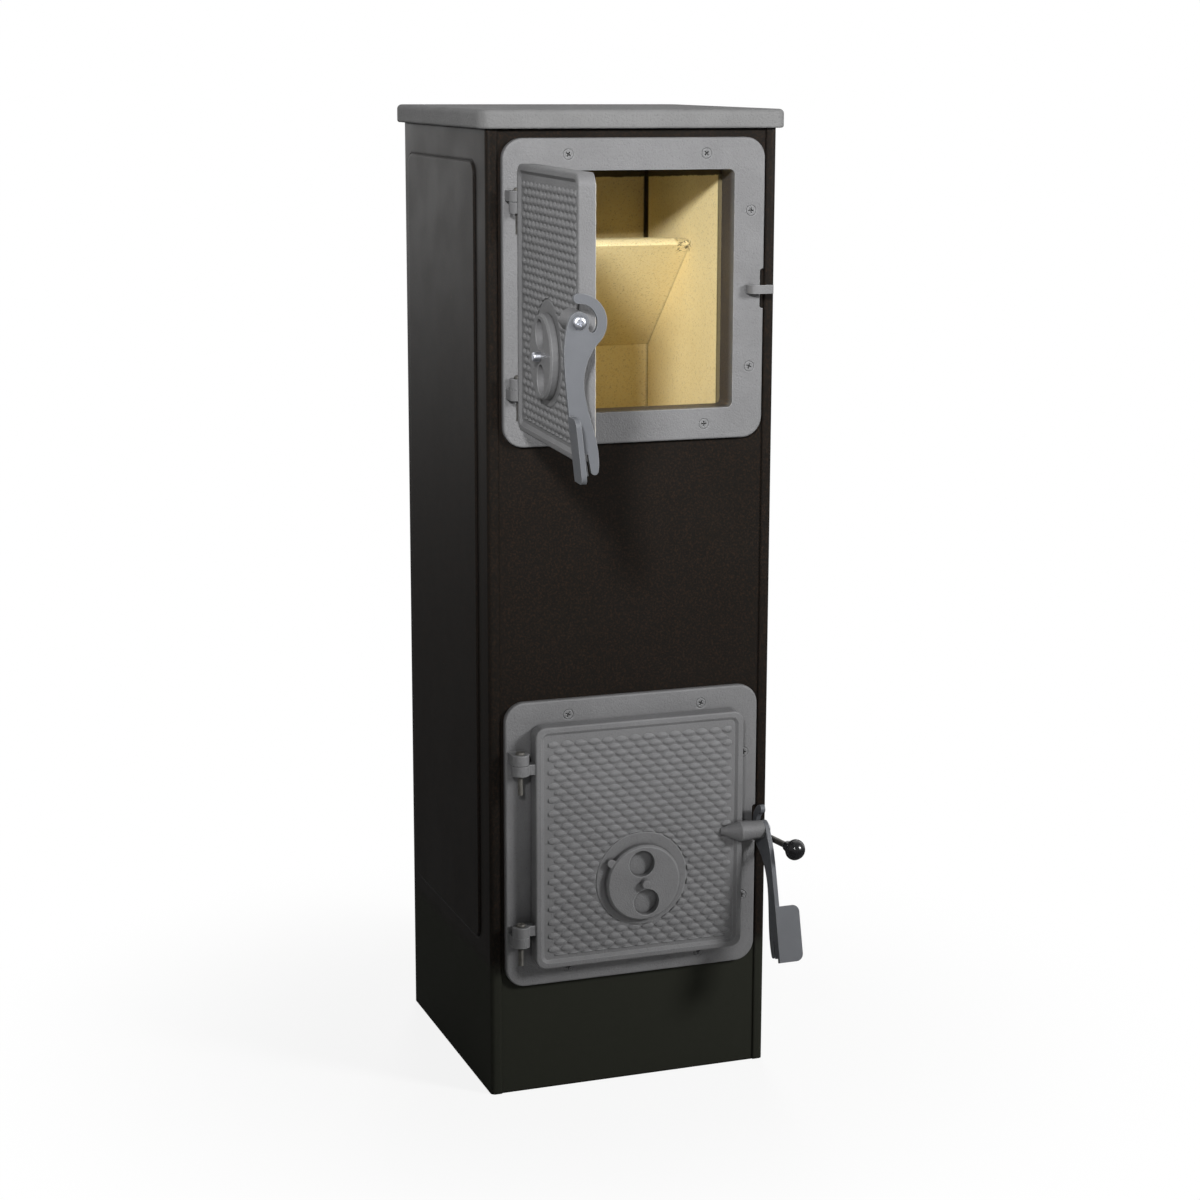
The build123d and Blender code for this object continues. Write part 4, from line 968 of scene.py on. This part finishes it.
class STOVE_OT_baffle(bpy.types.Operator):
    """Sloping baffle board with a worn top edge, crumbled at its right end"""

    bl_idname = "stove.baffle"
    bl_label = "Baffle board"

    def execute(self, context):
        low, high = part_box("baffle_board")
        front, rear, foot, top = low.y, high.y, low.z, high.z
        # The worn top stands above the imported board's; its heel lies this far behind the front
        lift, heel = 0.0066, 0.0362
        # Lower end of the sloping back, and front end of the sloping underside
        back = (rear, 0.81101)
        under = (0.0851, foot)
        section = [(front, top), (front + 0.0012, top + 0.0024),
                   (front + 0.0062, top + lift - 0.0006), (front + 0.0085, top + lift),
                   (front + 0.0300, top + lift), (front + heel, top - 0.0004), back,
                   (rear, foot), under]
        worn = range(1, 6)
        inner, stations, chip_middle, chip_half = 0.1066, 96, 0.1005, 0.0085
        made = bmesh.new()
        rows = []
        for i in range(stations + 1):
            x = -inner + 2 * inner * i / stations
            chip = max(0.0, 1 - abs(x - chip_middle) / chip_half) ** 0.6
            row = []
            for j, (y, z) in enumerate(section):
                # Worn in waves of 7 mm all along, and in crumbs of 2.4 mm at the chip
                if j in worn:
                    jitter = turbulence(Vector((x * 140, j * 3.1, 0.7)), 3, False)
                    rough = 0.55 + 0.45 * turbulence(Vector((x * 420, j * 1.7, 4.2)), 2, False)
                    y += 0.0005 * jitter + (0.0048 * chip * rough if j < 4 else 0.0)
                    z -= 0.0006 * abs(jitter) + 0.0062 * chip * rough * (0.45 if j == 1 else 1.0)
                row.append(made.verts.new((x, y, z)))
            rows.append(row)
        for first, second in zip(rows, rows[1:]):
            bridge(made, first, second)
        made.faces.new(rows[0])
        made.faces.new(rows[-1])
        # Tongues in the grooves of the side boards
        tongue = [(front, top - 0.0004), (front + heel, top - 0.0004), back, (rear, foot), under]
        for side in (-1, 1):
            ends = [[made.verts.new((side * x, y, z)) for y, z in tongue]
                    for x in (inner - 0.2 * MM, high.x)]
            bridge(made, *ends)
            made.faces.new(ends[0])
            made.faces.new(ends[1])
        mesh = closed_mesh(made, "worn_baffle_board", 30)
        piece = new_piece("worn_baffle_board", mesh, surface("pressed_vermiculite"))
        settle(piece, STOVE, "vermiculite", "baffle_board")
        return {"FINISHED"}


class STOVE_OT_knob(bpy.types.Operator):
    """Black moulded ball knob of the riddling lever"""

    bl_idname = "stove.knob"
    bl_label = "Lever knob"

    def execute(self, context):
        dress("phenolic_knob", "lever_knob")
        return {"FINISHED"}


def rope_path(half_width, half_height, corner, step):
    """Points round a rounded rectangle on x and z, each with its outward direction."""
    points = []
    arc_pieces = max(3, round(corner * math.pi / 2 / step))
    for quarter, (sx, sz) in enumerate(((1, 1), (-1, 1), (-1, -1), (1, -1))):
        centre = Vector((sx * (half_width - corner), 0, sz * (half_height - corner)))
        for i in range(arc_pieces + 1):
            angle = math.radians(90 * quarter + 90 * i / arc_pieces)
            out = Vector((math.cos(angle), 0, math.sin(angle)))
            points.append((centre + out * corner, out))
    dense = []
    for (p, out), (q, out_next) in zip(points, points[1:] + points[:1]):
        pieces = max(1, round((q - p).length / step))
        for i in range(pieces):
            share = i / pieces
            dense.append((p.lerp(q, share), out.lerp(out_next, share).normalized()))
    return dense


class STOVE_OT_rope_seals(bpy.types.Operator):
    """Braided sealing ropes laid in the grooves of the doors"""

    bl_idname = "stove.rope_seals"
    bl_label = "Rope seals"

    def execute(self, context):
        path = rope_path(half_width=0.1119, half_height=0.1269, corner=0.0055, step=0.0016)
        sides, strands, lay, ridge_share = 12, 4, 0.016, 0.09
        half_across, half_deep = 0.00255, 0.0039
        made = bmesh.new()
        rings = []
        travelled, last = 0.0, path[0][0]
        total = sum((b[0] - a[0]).length for a, b in zip(path, path[1:] + path[:1]))
        turns = round(total / lay)
        for point, out in path:
            travelled += (point - last).length
            last = point
            phase = 2 * math.pi * turns * travelled / total
            ring = []
            for i in range(sides):
                angle = 2 * math.pi * i / sides
                ridge = max(math.cos(strands * angle + phase),
                            math.cos(strands * angle - phase))
                swell = 1 + ridge_share * ridge
                across = out * (half_across * swell * math.cos(angle))
                deep = Vector((0, half_deep * swell * math.sin(angle), 0))
                ring.append(made.verts.new(point + across + deep))
            rings.append(ring)
        for first, second in zip(rings, rings[1:] + rings[:1]):
            bridge(made, first, second)
        rope = closed_mesh(made, "door_rope", 60)
        middle, depth = 0.002, -0.16565
        for level in LEVELS:
            mesh = rope.copy()
            mesh.transform(Matrix.Translation((middle, depth, CENTRE[level])))
            if level == "upper":
                mesh.transform(swing_open())
            piece = new_piece(f"{level}_braided_rope", mesh, surface("glass_fibre_rope"))
            settle(piece, f"{level}_door", "glass_rope", f"{level}_door_rope")
        return {"FINISHED"}


# Stage


def hang(name, lamp, place, target, power):
    """Hang a lamp at a place, aimed at a target."""
    lamp.energy = power
    hung = bpy.data.objects.new(name, lamp)
    hung.location = place
    aim = Vector(target) - Vector(place)
    hung.rotation_euler = aim.to_track_quat("-Z", "Y").to_euler()
    bpy.context.scene.collection.objects.link(hung)
    return hung


def soft_lamp(name, place, target, size, power):
    """Round lamp of this diameter."""
    lamp = bpy.data.lights.new(name, "AREA")
    lamp.shape = "DISK"
    lamp.size = size
    return hang(name, lamp, place, target, power)


def beam(name, place, target, radius, power):
    """Beam with a soft edge, whose source has this radius."""
    lamp = bpy.data.lights.new(name, "SPOT")
    lamp.spot_size = math.radians(30)
    lamp.spot_blend = 1.0
    lamp.shadow_soft_size = radius
    hang(name, lamp, place, target, power)


def seen_directly(add, rays):
    """1 for rays from the camera, also through something clear, and 0 for all others."""
    return add("Math", (rays["Is Camera Ray"], rays["Is Transmission Ray"]), operation="MAXIMUM")


def surroundings(strength):
    """Even light all round, seen as white, and reflected as a backdrop and a darker room."""
    world = bpy.data.worlds.new("studio")
    bpy.context.scene.world = world
    world.use_nodes = True
    world.node_tree.nodes.clear()
    add = partial(add_node, world.node_tree)
    rays = add("LightPath").outputs
    seen = seen_directly(add, rays)
    shown = add("Math", (seen, rays["Is Glossy Ray"]), operation="MAXIMUM")
    ahead = add("TexCoord").outputs["Generated"]
    depth = add("SeparateXYZ", (ahead,)).outputs["Y"]
    backdrop = add("MapRange", (depth, -0.2, 0.6, 0.25, 1), **EASED)
    glow = add("Math", (seen, backdrop), operation="MAXIMUM")
    even = add("Background", (WHITE, strength))
    white = add("Background", (WHITE, glow))
    mix = add("MixShader", (shown, even, white))
    add("OutputWorld", (mix,))


def pale_floor(colour):
    """Plain floor that keeps the shadow, fades to white and is reflected as a backdrop."""
    material = bpy.data.materials.new("pale_floor")
    material.use_nodes = True
    material.node_tree.nodes.clear()
    add = partial(add_node, material.node_tree)
    rays = add("LightPath").outputs
    seen = seen_directly(add, rays)
    matt = add("BsdfDiffuse", (colour,))
    place = add("TexCoord").outputs["Object"]
    reach = add("VectorMath", (place,), operation="LENGTH")
    lit = add("MapRange", (reach, 0.25, 0.75, 0.88, 1), **EASED)
    depth = add("SeparateXYZ", (place,)).outputs["Y"]
    backdrop = add("MapRange", (depth, 1.5, 12, 0.08, 0.5), **EASED)
    strength = add("Math", (seen, backdrop), operation="MAXIMUM")
    glow = add("Emission", (WHITE, strength))
    seen_white = add("Math", (seen, lit), operation="MULTIPLY")
    shown = add("Math", (seen_white, rays["Is Glossy Ray"]), operation="MAXIMUM")
    mix = add("MixShader", (shown, matt, glow))
    add("OutputMaterial", (mix,))
    made = bmesh.new()
    bmesh.ops.create_grid(made, x_segments=2, y_segments=2, size=12)
    mesh = as_mesh(made, "floor")
    mesh.transform(Matrix.Translation((0, 0, -0.2 * MM)))
    return new_piece("floor", mesh, material)


def photo_camera():
    """Camera at the photograph's place, with its focal length and middle, in pixels."""
    width, focal, middle_x, middle_y, sensor = 1200, 2553.2, 632.29, 593.83, 36
    lens = bpy.data.cameras.new("camera")
    lens.sensor_fit = "HORIZONTAL"
    lens.sensor_width = sensor
    lens.lens = focal / width * sensor
    lens.shift_x = (width / 2 - middle_x) / width
    lens.shift_y = (middle_y - width / 2) / width
    lens.clip_start = 0.05
    lens.clip_end = 60
    azimuth, dip, roll = 0.35657, 0.20373, 0.00518
    ahead = Vector((math.sin(azimuth) * math.cos(dip), math.cos(azimuth) * math.cos(dip),
                    -math.sin(dip)))
    right = Vector((math.cos(azimuth), -math.sin(azimuth), 0))
    level = Matrix((right, right.cross(ahead), -ahead)).transposed()
    turned = level @ Matrix.Rotation(roll, 3, "Z")
    camera = bpy.data.objects.new("camera", lens)
    camera.matrix_world = Matrix.Translation((-0.9314, -2.6560, 1.0983)) @ turned.to_4x4()
    bpy.context.scene.collection.objects.link(camera)
    bpy.context.scene.camera = camera


class STOVE_OT_stage(bpy.types.Operator):
    """Pale floor, white surroundings, three soft lamps and the camera"""

    bl_idname = "stove.stage"
    bl_label = "Stage"

    def execute(self, context):
        stage = settings("stove_stage")
        context.scene.view_settings.view_transform = "Standard"
        surroundings(stage.ambient)
        floor = pale_floor(stage.floor)
        beam("left_lamp", (-1.32, -2.68, 1.94), (0, -0.15, 1.02), 0.16, stage.left_lamp)
        soft_lamp("right_lamp", (1.9, -2.1, 1.7), (0, 0, 0.6), 0.7, stage.right_lamp)
        rear = soft_lamp("rear_lamp", (0.8, 2.7, 1.0), (0, 0, 0.5), 1.0, stage.rear_lamp)
        rear.visible_glossy = False
        photo_camera()
        return {"FINISHED"}


class STOVE_PT_panel(bpy.types.Panel):
    """Lists the stove's pieces in the sidebar"""

    bl_idname = "STOVE_PT_panel"
    bl_label = "Column stove"
    bl_space_type = "VIEW_3D"
    bl_region_type = "UI"
    bl_category = "Stove"

    def draw(self, context):
        for operator in PIECES:
            self.layout.operator(operator.bl_idname)
        for group in GROUPS:
            held = settings(group)
            for name in held.__annotations__:
                self.layout.prop(held, name)


GROUPS = {
    "stove_finish": StoveFinish,
    "stove_relief": ReliefSizes,
    "stove_fasteners": FastenerSizes,
    "stove_stage": StageSettings,
}
PIECES = (
    STOVE_OT_casing,
    STOVE_OT_top_plate,
    STOVE_OT_castings,
    STOVE_OT_relief,
    STOVE_OT_frame_screws,
    STOVE_OT_hinge_pins,
    STOVE_OT_handle_screws,
    STOVE_OT_sheet_screws,
    STOVE_OT_rope_seals,
    STOVE_OT_firebox,
    STOVE_OT_grate,
    STOVE_OT_lining,
    STOVE_OT_baffle,
    STOVE_OT_knob,
    STOVE_OT_stage,
)


def register():
    """Register the settings, the operators and the panel."""
    for name, group in GROUPS.items():
        bpy.utils.register_class(group)
        setattr(bpy.types.Scene, name, PointerProperty(type=group))
    for operator in PIECES:
        bpy.utils.register_class(operator)
    bpy.utils.register_class(STOVE_PT_panel)


def unregister():
    """Take back what register made."""
    bpy.utils.unregister_class(STOVE_PT_panel)
    for operator in reversed(PIECES):
        bpy.utils.unregister_class(operator)
    for name, group in GROUPS.items():
        delattr(bpy.types.Scene, name)
        bpy.utils.unregister_class(group)


def main():
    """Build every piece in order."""
    register()
    bpy.ops.stove.casing()
    bpy.ops.stove.top_plate()
    bpy.ops.stove.castings()
    bpy.ops.stove.relief()
    bpy.ops.stove.frame_screws()
    bpy.ops.stove.hinge_pins()
    bpy.ops.stove.handle_screws()
    bpy.ops.stove.sheet_screws()
    bpy.ops.stove.rope_seals()
    bpy.ops.stove.firebox()
    bpy.ops.stove.grate()
    bpy.ops.stove.lining()
    bpy.ops.stove.baffle()
    bpy.ops.stove.knob()
    bpy.ops.stove.stage()


if __name__ == "__main__":
    main()
